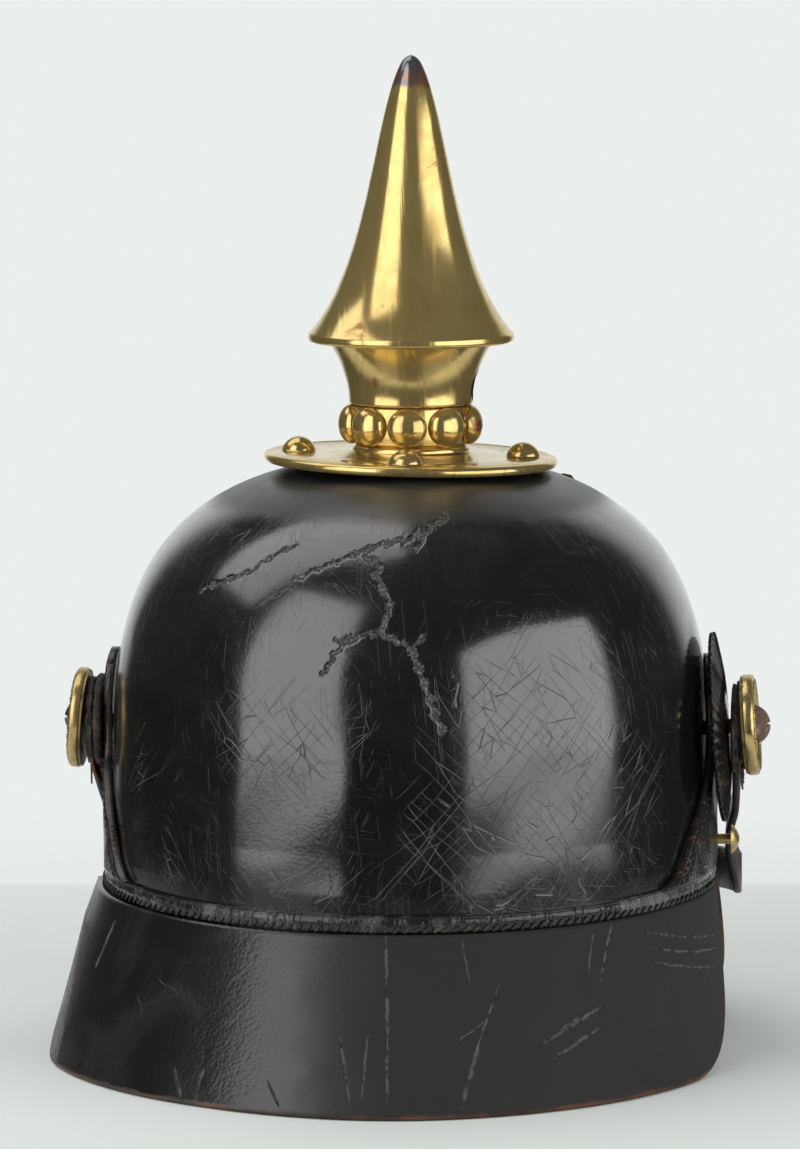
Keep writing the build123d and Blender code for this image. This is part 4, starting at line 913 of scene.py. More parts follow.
def addStitch(points, faces, centre, lean, out, half, size):
    across = out.cross(lean)
    base = len(points)
    for share in np.linspace(-1, 1, stitchRings):
        width = size * math.sqrt(max(0.02, 1 - share**4))
        lift = 0.28 * (1 - share**2) - 0.12
        for column in range(stitchSides):
            around = column * 2 * math.pi / stitchSides
            points.append(centre + lean * half * share + across * width * math.cos(around)
                          + out * (width * 0.75 * math.sin(around) + lift))
    faces.extend(tuple(f) for f in gridFaces(stitchRings, stitchSides, closeColumns=True, first=base))
    lastRing = base + (stitchRings - 1) * stitchSides
    faces.append(tuple(range(base, base + stitchSides)))
    faces.append(tuple(range(lastRing, lastRing + stitchSides)))


def makeBand(node, facing, end):
    outer = shape["halfWidth"] + shape["seamOutset"]
    count = bandLook["columns"]
    bottom, height, leather = bandLook["bottom"], bandLook["height"], bandLook["leather"]
    first = math.asin(end / ((outer + leather) * lengthShare))
    angles = np.linspace(first, math.pi - first, count)
    section = rounded([(0, 0), (leather * 0.92, 0), (leather, height * 0.8), (leather * 0.5, height),
                       (0, height)], [0.3, 1.0, 1.1, 0.6, 0.3], 5)
    points = []
    for outward, up in section:
        ring = []
        for angle in angles:
            along = math.degrees(angle)
            crease = noise.noise(Vector((along * 1.1, up * 0.25, facing * 7.0)))
            ragged = noise.noise(Vector((along * 2.1, 3.0, facing * 5.0)))
            swell = outward / leather
            reach = outer + outward - 0.3 * swell * max(crease, 0) - 0.12 * swell
            z = bottom + up + (0.35 * ragged * swell if up < 1.5 else 0.15 * crease)
            ring.append((reach * math.cos(angle), facing * reach * lengthShare * math.sin(angle),
                         max(z, bottom - 0.15)))
        points.extend(ring)
    points = np.array(points)
    faces = gridFaces(len(section), count, closeRows=True, flip=facing < 0)
    caps = [[row * count for row in range(len(section))],
            [row * count + count - 1 for row in range(len(section))]]
    faces = [tuple(f) for f in faces] + [tuple(c) for c in caps]
    piece = meshPiece(node + "_skin", points * mm, faces, [weltLeather], slot="welt_leather")
    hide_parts(node)
    perimeter = math.pi * (outer + leather) * (1 + lengthShare) / 2
    stitches = int(perimeter / bandLook["stitchStep"])
    threadPoints, threadFaces = [], []
    stitchWidth, stitchHalf = bandLook["stitchSize"]
    sideways, upward = bandLook["stitchLean"]
    spreadOf = bandLook["leanSpread"]
    reach = outer + leather + bandLook["stitchOutset"]
    z = bottom + bandLook["stitchHeight"]
    for index in range(stitches):
        angle = first + (math.pi - 2 * first) * (index + 0.5) / stitches
        centre = Vector((reach * math.cos(angle), facing * reach * lengthShare * math.sin(angle), z))
        out = Vector((math.cos(angle), facing * math.sin(angle) / lengthShare, 0)).normalized()
        side = Vector((-out.y, out.x, 0))
        lean = (side * sideways + Vector((0, 0, upward + dice.uniform(-spreadOf, spreadOf)))).normalized()
        half = stitchHalf * dice.uniform(*bandLook["lengthSpread"])
        addStitch(threadPoints, threadFaces, centre, lean, out, half, stitchWidth)
    meshPiece(node + "_stitches", [p * mm for p in threadPoints], threadFaces, [waxedThread],
              slot="welt_leather")


for v in visors.values():
    makeBand(v["node"] + "_band", v["facing"], v["end"])
print("bands stitched")


# Spike, neck, pearls and base disc
spikeLook = {"tip": 302.6, "foot": 215.1, "lip": 31.5, "tipRadius": 2.9, "tipHeight": 2.0, "lipHeight": 2.4,
             "hollowTop": 296.0, "segments": 160,
             # rounded ends, as radius and how far below the tip, and as steps from the lip and above the foot
             "tipSection": [(0.02, 0.0), (0.7, 0.15), (1.4, 0.5), (2.1, 1.05), (2.65, 1.65)],
             "lipSection": [(0.0, 2.1), (0.02, 1.5), (0.0, 0.8), (-0.3, 0.3), (-0.8, 0.05), (-2.0, 0.0),
                            (-4.3, 0.0), (-4.5, 0.2), (-4.3, 1.0), (-1.3, 1.1), (-1.0, 1.9)]}


def makeSpike():
    look = spikeLook
    lip = look["lip"]
    top = look["tip"] - look["tipHeight"]
    lipTop = look["foot"] + look["lipHeight"]
    rise = top - lipTop
    line = bezier([(look["tipRadius"], top), (lip * 0.362, top - rise * 0.18),
                   (lip * 0.408, top - rise * 0.755), (lip, lipTop)], 160)
    tip = [(radius, look["tip"] - down) for radius, down in look["tipSection"]]
    rolled = [(lip + out, look["foot"] + up) for out, up in look["lipSection"]]
    inner = line[::-6] - np.array([1.0, 0.2])
    inner = inner[inner[:, 0] > 0.5]
    hollow = [tuple(p) for p in inner] + [(0.02, look["hollowTop"])]
    profile = tip + [tuple(p) for p in line] + rolled + hollow
    piece = lathe("spikeSkin", np.array(profile) * mm, spikeBrass, look["segments"], slot="polished_brass")
    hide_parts("spike_cone")


neckLook = {"foot": 181.9, "mouth": 215.1, "sheet": 1.0, "segments": 240,
            "ventHeight": 202.0, "ventRadius": 4.8,
            # outsides as radius and height above the foot, then above the mouth
            "footSection": [(16.0, 0.0), (18.0, 0.0), (18.1, 0.25), (17.7, 1.3), (17.2, 1.8), (16.8, 2.1),
                            (16.8, 13.7), (17.4, 14.1), (18.7, 14.4)],
            "flare": [(19.0, 196.6), (19.1, 201.0), (20.6, 208.5), (25.2, 215.1)],
            "mouthSection": [(25.2, 1.15), (28.9, 1.2), (29.0, 2.1), (24.2, 2.1), (24.2, 0.0)],
            "stem": (15.8, 14.1)}


def makeNeck():
    look = neckLook
    outer = [(radius, look["foot"] + up) for radius, up in look["footSection"]]
    flare = bezier(look["flare"], 30)
    mouth = [(radius, look["mouth"] + up) for radius, up in look["mouthSection"]]
    stem, stemTop = look["stem"]
    inner = [(p[0] - look["sheet"], p[1]) for p in flare[::-3]]
    inner += [(stem, look["foot"] + stemTop), (stem, look["foot"])]
    profile = np.array(outer + [tuple(p) for p in flare] + mouth + inner)
    points = lathePoints(profile * mm, look["segments"])
    faces = gridFaces(len(profile), look["segments"], closeColumns=True, closeRows=True)
    centres = points[faces].mean(axis=1) / mm
    inVent = np.hypot(centres[:, 1], centres[:, 2] - look["ventHeight"]) < look["ventRadius"]
    offAxis = np.hypot(centres[:, 0], centres[:, 1]) > 10
    piece = meshPiece("neckSkin", points, faces[~(inVent & offAxis)], [polishedBrass], slot="polished_brass")
    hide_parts("spike_neck")


pearlLook = {"count": 9, "turn": 1.4, "ring": 18.3, "height": 190.0, "radius": 6.1, "depth": 4.1, "rows": 20,
             "columns": 32, "bandSegments": 96,
             "band": [(17.0, 184.3), (17.9, 184.3), (18.0, 184.8), (18.0, 195.2), (17.9, 195.7),
                      (17.0, 195.7)]}


def makePearls():
    look = pearlLook
    points, faces = [], []
    rows, columns = look["rows"], look["columns"]
    for count in range(look["count"]):
        angle = math.radians(look["turn"] - 90 + count * 360 / look["count"])
        out = np.array([math.cos(angle), math.sin(angle), 0])
        side = np.array([-math.sin(angle), math.cos(angle), 0])
        centre = out * look["ring"] + np.array([0, 0, look["height"]])
        base = len(points)
        for row in range(rows):
            lift = math.pi * (row + 0.5) / rows - math.pi / 2
            level = centre + np.array([0, 0, look["radius"] * math.sin(lift)])
            for column in range(columns):
                around = 2 * math.pi * column / columns
                outward = look["depth"] * math.cos(lift) * math.cos(around)
                sideways = look["radius"] * math.cos(lift) * math.sin(around)
                points.append(level + out * outward + side * sideways)
        faces.extend(tuple(f) for f in gridFaces(rows, columns, closeColumns=True, first=base))
        faces.append(tuple(range(base, base + columns))[::-1])
        faces.append(tuple(range(base + (rows - 1) * columns, base + rows * columns)))
    band, segments = look["band"], look["bandSegments"]
    base = len(points)
    points.extend(lathePoints(band, segments))
    faces.extend(tuple(f) for f in gridFaces(len(band), segments, closeColumns=True, closeRows=True,
                                             first=base))
    piece = meshPiece("pearlSkin", np.array(points) * mm, faces, [polishedBrass], slot="polished_brass")
    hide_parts("pearl_ring")


discLook = {"tilt": 1.3, "top": 180.6, "segments": 220, "rimRing": 43.5, "rimHeight": 179.1,
            "rimRadius": 1.5, "rimArc": (115, -200), "rimRows": 22,
            "upper": [(10.0, 180.9), (10.0, 181.9), (17.6, 181.9), (18.6, 181.8), (26.0, 180.65),
                      (30.0, 180.6), (42.2, 180.45), (42.6, 180.2)],
            "under": [(42.0, 179.6), (26.0, 179.6), (18.1, 180.9)]}
discTilt = (Matrix.Translation((0, 0, discLook["top"]))
            @ Matrix.Rotation(math.radians(discLook["tilt"]), 4, "Y")
            @ Matrix.Translation((0, 0, -discLook["top"])))


def makeDisc():
    look = discLook
    size, segments = look["rimRadius"], look["segments"]
    arc = np.linspace(*np.radians(look["rimArc"]), look["rimRows"])
    rim = [(look["rimRing"] + size * math.cos(a), look["rimHeight"] + size * math.sin(a)) for a in arc]
    profile = look["upper"] + rim + look["under"]
    points = lathePoints(profile, segments, discTilt)
    faces = gridFaces(len(profile), segments, closeColumns=True, closeRows=True)
    # faces under the disc take the darkened brass, a painted shade
    below = len(profile) - len(look["under"]) - 1
    slots = [1 if face // segments >= below else 0 for face in range(len(faces))]
    piece = meshPiece("discSkin", points * mm, faces, [polishedBrass, discUndersidePaintedShade], slot="polished_brass",
                      faceSlots=slots)
    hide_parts("base_disc")


studLook = {"count": 4, "ring": 34.4, "turn": 2.4, "radius": 5.25, "height": 4.5, "shank": 1.6,
            "shankFoot": -11.4, "legHeight": -11.0, "legHalf": 6.5, "legRise": 0.5, "legSize": (2.4, 0.8),
            "segments": 48}


def makeStuds():
    look = studLook
    points, faces = [], []
    radius, height, shank, foot = look["radius"], look["height"], look["shank"], look["shankFoot"]
    dome = (radius**2 + height**2) / (2 * height)
    head = [(dome * math.sin(a), dome * math.cos(a) - dome + height)
            for a in np.linspace(0, math.asin(radius / dome), 14)[1:]]
    stem = [(radius, 0.1), (radius - 0.25, 0.02), (shank, 0.02), (shank, foot), (0.01, foot)]
    profile = [(0.01, height)] + head + stem
    for count in range(look["count"]):
        angle = math.radians(look["turn"] + 90 * count)
        centre = (look["ring"] * math.cos(angle), look["ring"] * math.sin(angle), discLook["top"])
        place = discTilt @ Matrix.Translation(centre)
        base = len(points)
        points.extend(lathePoints(profile, look["segments"], place))
        faces.extend(tuple(f) for f in gridFaces(len(profile), look["segments"], closeColumns=True,
                                                 closeRows=True, first=base))
        side = np.array([-math.sin(angle), math.cos(angle), 0])
        middle = np.array(place @ Vector((0, 0, look["legHeight"])))
        leg = [middle + side * t * look["legHalf"] + np.array([0, 0, look["legRise"] * t * t])
               for t in np.linspace(-1, 1, 9)]
        addRibbon(points, faces, leg, (math.cos(angle), math.sin(angle), 0), *look["legSize"])
    piece = meshPiece("studSkins", np.array(points) * mm, faces, [polishedBrass], slot="polished_brass")
    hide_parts("base_studs")


makeSpike()
makeNeck()
makePearls()
makeDisc()
makeStuds()
print("spike, neck, pearls and disc made")


# Side patches: bell-shaped leather with a stitched, raw brown edge
patchLook = {"tongue": 11.0, "leather": 2.75, "lift": 0.25, "inset": 2.3, "groove": 0.35, "step": 1.1,
             "stitchStep": 2.9, "stitchOutset": 3.0, "stitchSize": (1.0, 0.38),
             # knots of the edge as y and height, and which way it runs there
             "outline": [(53.0, 54.9), (31.8, 70.5), (11.0, 90.7), (11.0, 109.0)],
             "slopes": [(-30.0, 9.0), (-21.0, 17.9), (-6.0, 19.3), (0.0, 18.3)]}


def patchOutline():
    knots = np.array(patchLook["outline"])
    slopes = np.array(patchLook["slopes"])
    last = len(knots) - 2
    out = []
    for index in range(len(knots) - 1):
        a, b = knots[index], knots[index + 1]
        for t in np.linspace(0, 1, 24, endpoint=index == last):
            out.append((2 * t**3 - 3 * t * t + 1) * a + (t**3 - 2 * t * t + t) * slopes[index]
                       + (3 * t * t - 2 * t**3) * b + (t**3 - t * t) * slopes[index + 1])
    size, middle = patchLook["tongue"], knots[-1][1]
    for angle in np.linspace(0, math.radians(86), 14)[1:]:
        out.append(np.array([size * math.cos(angle), middle + size * math.sin(angle)]))
    return np.array(out)


def onShell(y, z, outset, side):
    width = widthAt(z, 0.0) + outset
    return np.stack([side * width * np.sqrt(np.clip(1 - (y / (width * lengthShare)) ** 2, 0, 1)), y,
                     np.broadcast_to(z, np.shape(y))], axis=-1)


def makePatch(node, side):
    look = patchLook
    outline = resample(patchOutline(), look["step"])
    section = [(-1, 0), (-1, 0.5), (-0.992, 0.8), (-0.975, 0.95), (-0.95, 1.0)]
    section += [(t, 1.0) for t in np.linspace(-0.88, 0.88, 25)]
    section += [(0.95, 1.0), (0.975, 0.95), (0.992, 0.8), (1, 0.5), (1, 0)]
    section += [(t, 0.0) for t in np.linspace(0.9, -0.9, 9)]
    shares = np.array([t for t, _ in section])
    lifts = np.array([lift for _, lift in section])
    points, edges = [], []
    for half, z in outline:
        y = shares * half
        fromSeam = np.abs(y) - (half - look["inset"])
        groove = look["groove"] * np.exp(-((fromSeam / 0.8) ** 2)) if half > 6 else 0.0
        wave = 0.25 * np.sin(y * 0.3 + z * 0.12) * np.sin(z * 0.21 + side)
        outset = look["lift"] + look["leather"] * lifts + (wave - groove) * (lifts > 0.9)
        points.append(onShell(y, z, outset, side))
        edges.append(np.where(np.abs(shares) > 0.97, 1.0, 0.0))
    columns = len(section)
    faces = [tuple(f) for f in gridFaces(len(points), columns, closeColumns=True)]
    faces.append(tuple(range(columns)))
    faces.append(tuple(range((len(points) - 1) * columns, len(points) * columns)))
    piece = meshPiece(node + "_skin", np.concatenate(points) * mm, faces, [patchLeather],
                      slot="patch_leather", attributes={"edge": np.concatenate(edges)})
    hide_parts(node)
    threadPoints, threadFaces = [], []
    line = resample(patchOutline()[:-8], look["stitchStep"])

    def seam(knot, way):
        return Vector(onShell(np.array(way * (knot[0] - look["inset"])), knot[1], look["stitchOutset"], side))

    for before, here, after in zip(line[:-2], line[1:-1], line[2:]):
        for way in (-1, 1):
            centre = seam(here, way)
            lean = seam(after, way) - seam(before, way)
            out = Vector((centre.x, centre.y / lengthShare**2, 0)).normalized()
            addStitch(threadPoints, threadFaces, centre, lean.normalized(), out, *look["stitchSize"])
    meshPiece(node + "_stitches", [p * mm for p in threadPoints], threadFaces, [waxedThread],
              slot="patch_leather")


makePatch("left_side_patch", -1)
makePatch("right_side_patch", 1)
print("side patches made")


# Bosses at the sides: rosettes, cockade and worn leather washers
bossLook = {"height": 97.0, "lean": 4.5, "teeth": 84, "petals": 8, "toothSize": 0.16, "plate": 1.2,
            "petalHeight": 1.4, "rest": 0.7}
# which side each rosette is on, how far out it sits and how thick it is
rosettes = {"left_rosette": (-1, 100.6, 3.2), "right_rosette": (1, 102.4, 3.4)}


def bossPlace(side, seat, lean=None):
    lean = math.radians(bossLook["lean"] if lean is None else lean)
    out = Vector((side * math.cos(lean), 0, math.sin(lean)))
    across = Vector((0, side, 0))
    place = Matrix.Identity(4)
    for column, axis in enumerate((across, out.cross(across), out)):
        for row in range(3):
            place[row][column] = axis[row]
    place.translation = (side * seat, 0, bossLook["height"] + (seat - shape["halfWidth"]) * math.tan(lean))
    return place


def makeRosette(node, side, seat, thick):
    columns = bossLook["teeth"] * 4
    angles = np.linspace(0, 2 * math.pi, columns, endpoint=False)
    petal = (angles * bossLook["petals"] / (2 * math.pi) + 0.5) % 1 - 0.5
    rows = []
    for radius in np.arange(2.5, 11.8, 0.35):
        aside = radius * np.sin(petal * 2 * math.pi / bossLook["petals"])
        bulge = np.sqrt(np.clip(1 - ((radius - 8) / 3) ** 2 - (aside / 1.6) ** 2, 0, 1))
        rows.append((radius, bossLook["plate"] + bossLook["petalHeight"] * bulge))
    tooth = bossLook["toothSize"] * np.sign(np.sin(bossLook["teeth"] * angles))
    rows += [(11.9, bossLook["plate"]), (12.0, 2.0), (12.7, 2.1), (12.9, 2.2)]
    # the raised rim with its ring of teeth
    rim = ((13.0, -0.2), (13.1, 0.1 + tooth), (13.9, 0.25 + tooth), (14.0, -0.1), (14.15, -0.15),
           (14.5, 0.0), (14.9, -0.1), (15.2, -0.35), (15.4, -0.7), (15.5, -1.2))
    rows += [(radius, thick + rise) for radius, rise in rim]
    rows += [(15.5, 0.35), (15.35, 0.05), (15.0, 0.0), (2.5, 0.0)]
    points, faces = [], []
    addPolar(points, faces, rows, bossPlace(side, seat) @ Matrix.Translation((0, 0, bossLook["rest"])))
    piece = meshPiece(node + "_skin", np.array(points) * mm, faces, [satinBrass], slot="satin_brass")
    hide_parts(node)


cockadeLook = {"seat": 93.9, "radius": 28.7, "rise": 2.9, "leather": 1.2, "pleats": 44, "depth": 1.25,
               "twist": 0.42, "scallop": 1.0, "fold": 0.78, "plainTo": 0.34, "pleatedFrom": 0.64}


def makeCockade():
    look = cockadeLook
    columns = look["pleats"] * 14
    angles = np.linspace(0, 2 * math.pi, columns, endpoint=False)
    rows = []

    def pleat(share):
        # a slow rise and a quick fall, twisted a little towards the rim
        fold = look["fold"]
        phase = (look["pleats"] * (angles + look["twist"] * share) / (2 * math.pi)) % 1
        return np.where(phase < fold, (phase / fold) ** 1.3, ((1 - phase) / (1 - fold)) ** 0.8)

    for share in np.linspace(0.09, 1, 46):
        radius = look["radius"] * share
        grown = min(max((share - look["plainTo"]) / (look["pleatedFrom"] - look["plainTo"]), 0), 1) ** 1.2
        saw = pleat(share)
        reach = radius + look["scallop"] * (saw - 0.4) * max(share - 0.9, 0) / 0.1
        dome = look["leather"] + look["rise"] * (1 - share**2)
        rows.append((reach, dome + look["depth"] * grown * (saw - 0.55)))
    saw = pleat(1.0)
    edge = look["radius"] + look["scallop"] * (saw - 0.4)
    rows += [(edge, 0.8 + 0.6 * saw), (edge - 0.25, 0.1 * saw + 0.05)]
    for share in np.linspace(0.96, 0.36, 8):
        rows.append((look["radius"] * share, look["rise"] * (1 - share**2)))
    rows += [(9.5, 2.6), (9.4, 1.75), (2.6, 1.75)]
    points, faces = [], []
    addPolar(points, faces, rows, bossPlace(1, look["seat"]))
    piece = meshPiece("cockadeSkin", np.array(points) * mm, faces, [cockadeLeather], slot="cockade_leather")
    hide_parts("cockade")


def raggedDisc(name, place, radius, thick, rough, material, slot, seed):
    columns = 160
    angles = np.linspace(0, 2 * math.pi, columns, endpoint=False)

    def lumps(scale, radii, offset):
        spots = [Vector((r * math.cos(a) * scale, r * math.sin(a) * scale, seed + offset))
                 for r, a in zip(np.broadcast_to(radii, angles.shape), angles)]
        return np.array([noise.fractal(spot, 0.6, 2.0, 4) for spot in spots])

    edge = radius + rough * lumps(0.35, radius, 0.0) + 0.4 * rough * lumps(1.3, radius, 5.0)
    rows = []
    for share in np.linspace(0.18, 1, 16):
        rows.append((edge * share, thick + 0.3 * rough * lumps(0.5, radius * share, 9.0)))
    rows += [(edge * 1.015, thick * 0.7), (edge * (1 + 0.02 * lumps(0.9, radius, 2.0)), thick * 0.35),
             (edge * 0.99, 0.05)]
    rows += [(edge * 0.5, 0.0), (edge * 0.18, 0.0)]
    points, faces = [], []
    addPolar(points, faces, rows, place)
    return meshPiece(name, np.array(points) * mm, faces, [material], slot=slot)


ragLook = {"padSeat": 94.6, "padSize": (14.3, 2.3, 0.95),
           "washerSeat": 101.35, "washerSize": (13.3, 0.8, 0.7),
           "strips": 9, "stripFrom": -9.0, "stripStep": 2.1, "stripLength": (3.2, 6.6),
           "stripSize": (1.5, 0.45, 0.55), "hangHeight": 96.8, "hangRadius": 13.0, "hangOut": 101.9,
           # the torn flap and the thread below the left pad, top to bottom
           "flap": [(-97.3, -5.0, 89.0), (-97.5, -5.5, 85.5), (-97.2, -6.0, 82.6), (-96.4, -6.2, 80.2),
                    (-95.5, -6.0, 78.4)],
           "thread": [(-98.3, -7.0, 84.5), (-98.4, -7.2, 81.0), (-98.2, -7.1, 78.2)]}


def makeFringe():
    look = ragLook
    wide, narrow, thick = look["stripSize"]
    points, faces = [], []
    for count in range(look["strips"]):
        y = look["stripFrom"] + look["stripStep"] * count + dice.uniform(-0.5, 0.5)
        foot = look["hangHeight"] - math.sqrt(look["hangRadius"] ** 2 - y * y)
        length = dice.uniform(*look["stripLength"]) * (1.0 - abs(y) / 18)
        path = []
        for t in np.linspace(0, 1, 7):
            lifted = 0.25 * t * t * length * dice.uniform(0.2, 0.6)
            outward = look["hangOut"] - 0.09 * (foot - 84) + lifted
            path.append((outward, y + 0.03 * t * count, foot + 1.5 - (length + 1.5) * t))
        addRibbon(points, faces, path, (0, 1, 0), np.linspace(wide, narrow, 7), thick)
    meshPiece("frayedFringe", np.array(points) * mm, faces, [roughLeather], slot="rough_leather")


def makeLeatherRags():
    look = ragLook
    pad = raggedDisc("padSkin", bossPlace(-1, look["padSeat"], lean=0.0), *look["padSize"], roughLeather,
                     "rough_leather", 3.0)
    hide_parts("left_leather_pad")
    raggedDisc("frayedWasher", bossPlace(1, look["washerSeat"]), *look["washerSize"], roughLeather,
               "rough_leather", 11.0)
    makeFringe()
    points, faces = [], []
    for route, wide, ends, thick in ((look["flap"], (0.2, 1, 0), (7.0, 1.6), 0.9),
                                     (look["thread"], (0, 1, 0), (1.4, 0.4), 0.5)):
        path = resample(route, 0.6)
        addRibbon(points, faces, path, wide, np.linspace(*ends, len(path)), thick)
    meshPiece("tornFlap", np.array(points) * mm, faces, [tornLeather], slot="rough_leather")


for node, (side, seat, thick) in rosettes.items():
    makeRosette(node, side, seat, thick)
makeCockade()
makeLeatherRags()
print("bosses made")


# Chinstrap: eyes on the bosses, drops that lie on the patches, and a loop over the front visor
strapLook = {"width": 13.0, "leather": 2.2, "shift": 0.9, "middle": 99.1, "loopForward": 26.0,
             "loopHeight": 47.6, "tilt": 5.15, "knee": (29.2, 47.3), "kneeRadius": 10.0, "eyeEnd": 6.0,
             # how far out each drop lies, at these heights
             "drops": {-1: ([97, 84, 76, 68, 60, 54, 47], [98.2, 98.2, 96.6, 94.6, 94.2, 95.4, 97.8]),
                       1: ([97, 84, 73, 65, 58, 53, 47], [100.0, 100.0, 99.8, 97.4, 97.2, 98.4, 99.5])},
             # the eyes round the bosses: where they sit, and their section as radius and height
             "eyeSeats": {-1: 97.1, 1: 98.9},
             "eye": [(3.2, 2.15), (4.0, 2.2), (12.2, 2.6), (13.0, 2.5), (13.4, 2.0), (13.2, 1.5), (13.6, 0.9),
                     (13.3, 0.3), (12.4, 0.0), (3.2, 0.0)],
             "eyeLumps": 0.9, "eyeColumns": 96}


def strapDrop(side):
    # from the eye down to the loop, in the view from the side
    look = strapLook
    tilt = math.radians(look["tilt"])
    start, knee = np.array([0.0, bossLook["height"]]), np.array(look["knee"])
    length = np.linalg.norm(knee - start)
    along = (knee - start) / length
    ahead = np.array([math.cos(tilt), -math.sin(tilt)])
    cut = look["kneeRadius"] * math.tan(math.acos(float(along @ ahead)) / 2)
    line = [start + along * run for run in np.arange(look["eyeEnd"], length - cut, 1.5)]
    tip, end = knee - along * cut, knee + ahead * cut
    line += [tip * (1 - t) ** 2 + knee * 2 * t * (1 - t) + end * t * t for t in np.linspace(0, 1, 9)]
    heights, reaches = look["drops"][side]
    path, wide = [], []
    for index, (y, z) in enumerate(line):
        path.append((side * np.interp(-z, [-h for h in heights], reaches), y, z))
        way = line[min(index + 1, len(line) - 1)] - line[max(index - 1, 0)]
        wide.append((0, way[1], -way[0]))
    return path, wide


def addEye(points, faces, side):
    around = np.linspace(0, 2 * math.pi, strapLook["eyeColumns"], endpoint=False)
    rows = []
    for radius, height in strapLook["eye"]:
        spots = [Vector((4 * math.cos(a), 4 * math.sin(a), 1.4 * height + side)) for a in around]
        lumps = np.array([noise.noise(spot) for spot in spots])
        rows.append((radius + (radius > 12) * strapLook["eyeLumps"] * lumps, height))
    seat = Matrix.Translation((side * strapLook["eyeSeats"][side], 0, bossLook["height"]))
    addPolar(points, faces, rows, seat @ bossPlace(side, 0, lean=0.0).to_3x3().to_4x4())


def makeStrap():
    look = strapLook
    tilt = math.radians(look["tilt"])
    origin = np.array([look["shift"], look["loopForward"], look["loopHeight"]])
    forward = np.array([0, math.cos(tilt), -math.sin(tilt)])
    upright = np.array([0, math.sin(tilt), math.cos(tilt)])
    leftPath, leftWide = strapDrop(-1)
    rightPath, rightWide = strapDrop(1)
    loopStart = math.asin((leftPath[-1][1] - look["loopForward"]) / look["middle"]) + 0.03
    loop, loopWide = [], []
    for angle in np.linspace(math.pi - loopStart, loopStart, 150):
        loop.append(origin + look["middle"] * (math.cos(angle) * np.array([1, 0, 0])
                                               + math.sin(angle) * forward))
        loopWide.append(-upright)
    path = np.array(leftPath + [tuple(p) for p in loop] + rightPath[::-1])
    wide = np.array(leftWide + [tuple(w) for w in loopWide] + [(0, -w[1], -w[2]) for w in rightWide[::-1]])
    wide /= np.linalg.norm(wide, axis=1, keepdims=True)
    for smoothing in range(3):
        wide[1:-1] = wide[1:-1] * 0.5 + (wide[:-2] + wide[2:]) * 0.25
        path[1:-1] = path[1:-1] * 0.5 + (path[:-2] + path[2:]) * 0.25
    points, faces = [], []
    addRibbon(points, faces, path, wide, look["width"], look["leather"])
    ribbonFaces = len(faces)
    for side in (-1, 1):
        addEye(points, faces, side)
    slots = [0] * ribbonFaces + [1] * (len(faces) - ribbonFaces)
    piece = meshPiece("chinstrapSkin", np.array(points) * mm, faces, [strapLeather, roughLeather],
                      body="strap", slot="strap_leather", faceSlots=slots)
    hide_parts("chinstrap")


makeStrap()
print("chinstrap made")


# Front plate: two fans of ribbed feathers round a plain boss
plateLook = {"centre": 112.0, "gap": 0.8, "boss": 14.0, "bossHeight": 5.5, "reach": 76.0, "half": 7.2,
             "shares": (0.70, 0.83, 0.93, 1.0, 0.93, 0.80), "angles": (12.0, 25.2, 38.4, 51.6, 64.8, 78.0),
             "tail": 38.0, "tailAngles": (-118.0, -104.0, -90.0, -76.0, -62.0), "barb": 1.7,
             "barbDepth": 0.16, "rib": 0.5, "crown": 0.35, "rows": 44, "columns": 19, "beads": 30,
             "bossColumns": 480, "postHeight": 117.0, "postAngle": 78.0, "postRun": (1.2, -7.0),
             "postSize": (3.0, 2.9)}


def onFront(x, z, outset):
    width = widthAt(z, 0.0) + outset
    return np.stack([x, width * lengthShare * np.sqrt(np.clip(1 - (x / width) ** 2, 0, 1)), z], axis=-1)


def addFeather(points, faces, angle, reach, raised):
    look = plateLook
    rows, columns = look["rows"], look["columns"]
    u, v = np.meshgrid(np.linspace(0, 1, rows), np.linspace(-1, 1, columns), indexing="ij")
    half = look["half"] * (0.86 if raised else 1.0) * np.sqrt(np.clip(1 - (2 * u - 1) ** 2, 0.0008, 1))
    run = reach * (0.5 + (u - 0.5) * (0.96 if raised else 1.0))
    turned = math.radians(angle)
    x = run * math.cos(turned) - v * half * math.sin(turned)
    z = look["centre"] + run * math.sin(turned) + v * half * math.cos(turned)
    rib = look["rib"] * np.exp(-((v / 0.16) ** 2)) * np.sin(np.clip(u, 0, 1) * math.pi) ** 0.4
    phase = (run + np.abs(v) * half * 1.3) * 2 * math.pi / look["barb"]
    barbs = look["barbDepth"] * np.sin(phase) * (1 - np.exp(-((v / 0.25) ** 2)))
    top = look["gap"] + (1.25 if raised else 0.75) + look["crown"] * (1 - v * v) + rib + barbs
    low = len(points)
    high = low + rows * columns
    for base, outset in ((low, top), (high, np.full_like(top, look["gap"] + (0.2 if raised else 0.0)))):
        points.extend(onFront(x, z, outset).reshape(-1, 3))
        faces.extend(tuple(f) for f in gridFaces(rows, columns, first=base))
    # the edge all round, from the front face to the back
    ring = ([(0, c) for c in range(columns)] + [(r, columns - 1) for r in range(1, rows)]
            + [(rows - 1, c) for c in range(columns - 2, -1, -1)] + [(r, 0) for r in range(rows - 2, 0, -1)])
    ids = [r * columns + c for r, c in ring]
    for here, after in zip(ids, ids[1:] + ids[:1]):
        faces.append((low + here, low + after, high + after, high + here))


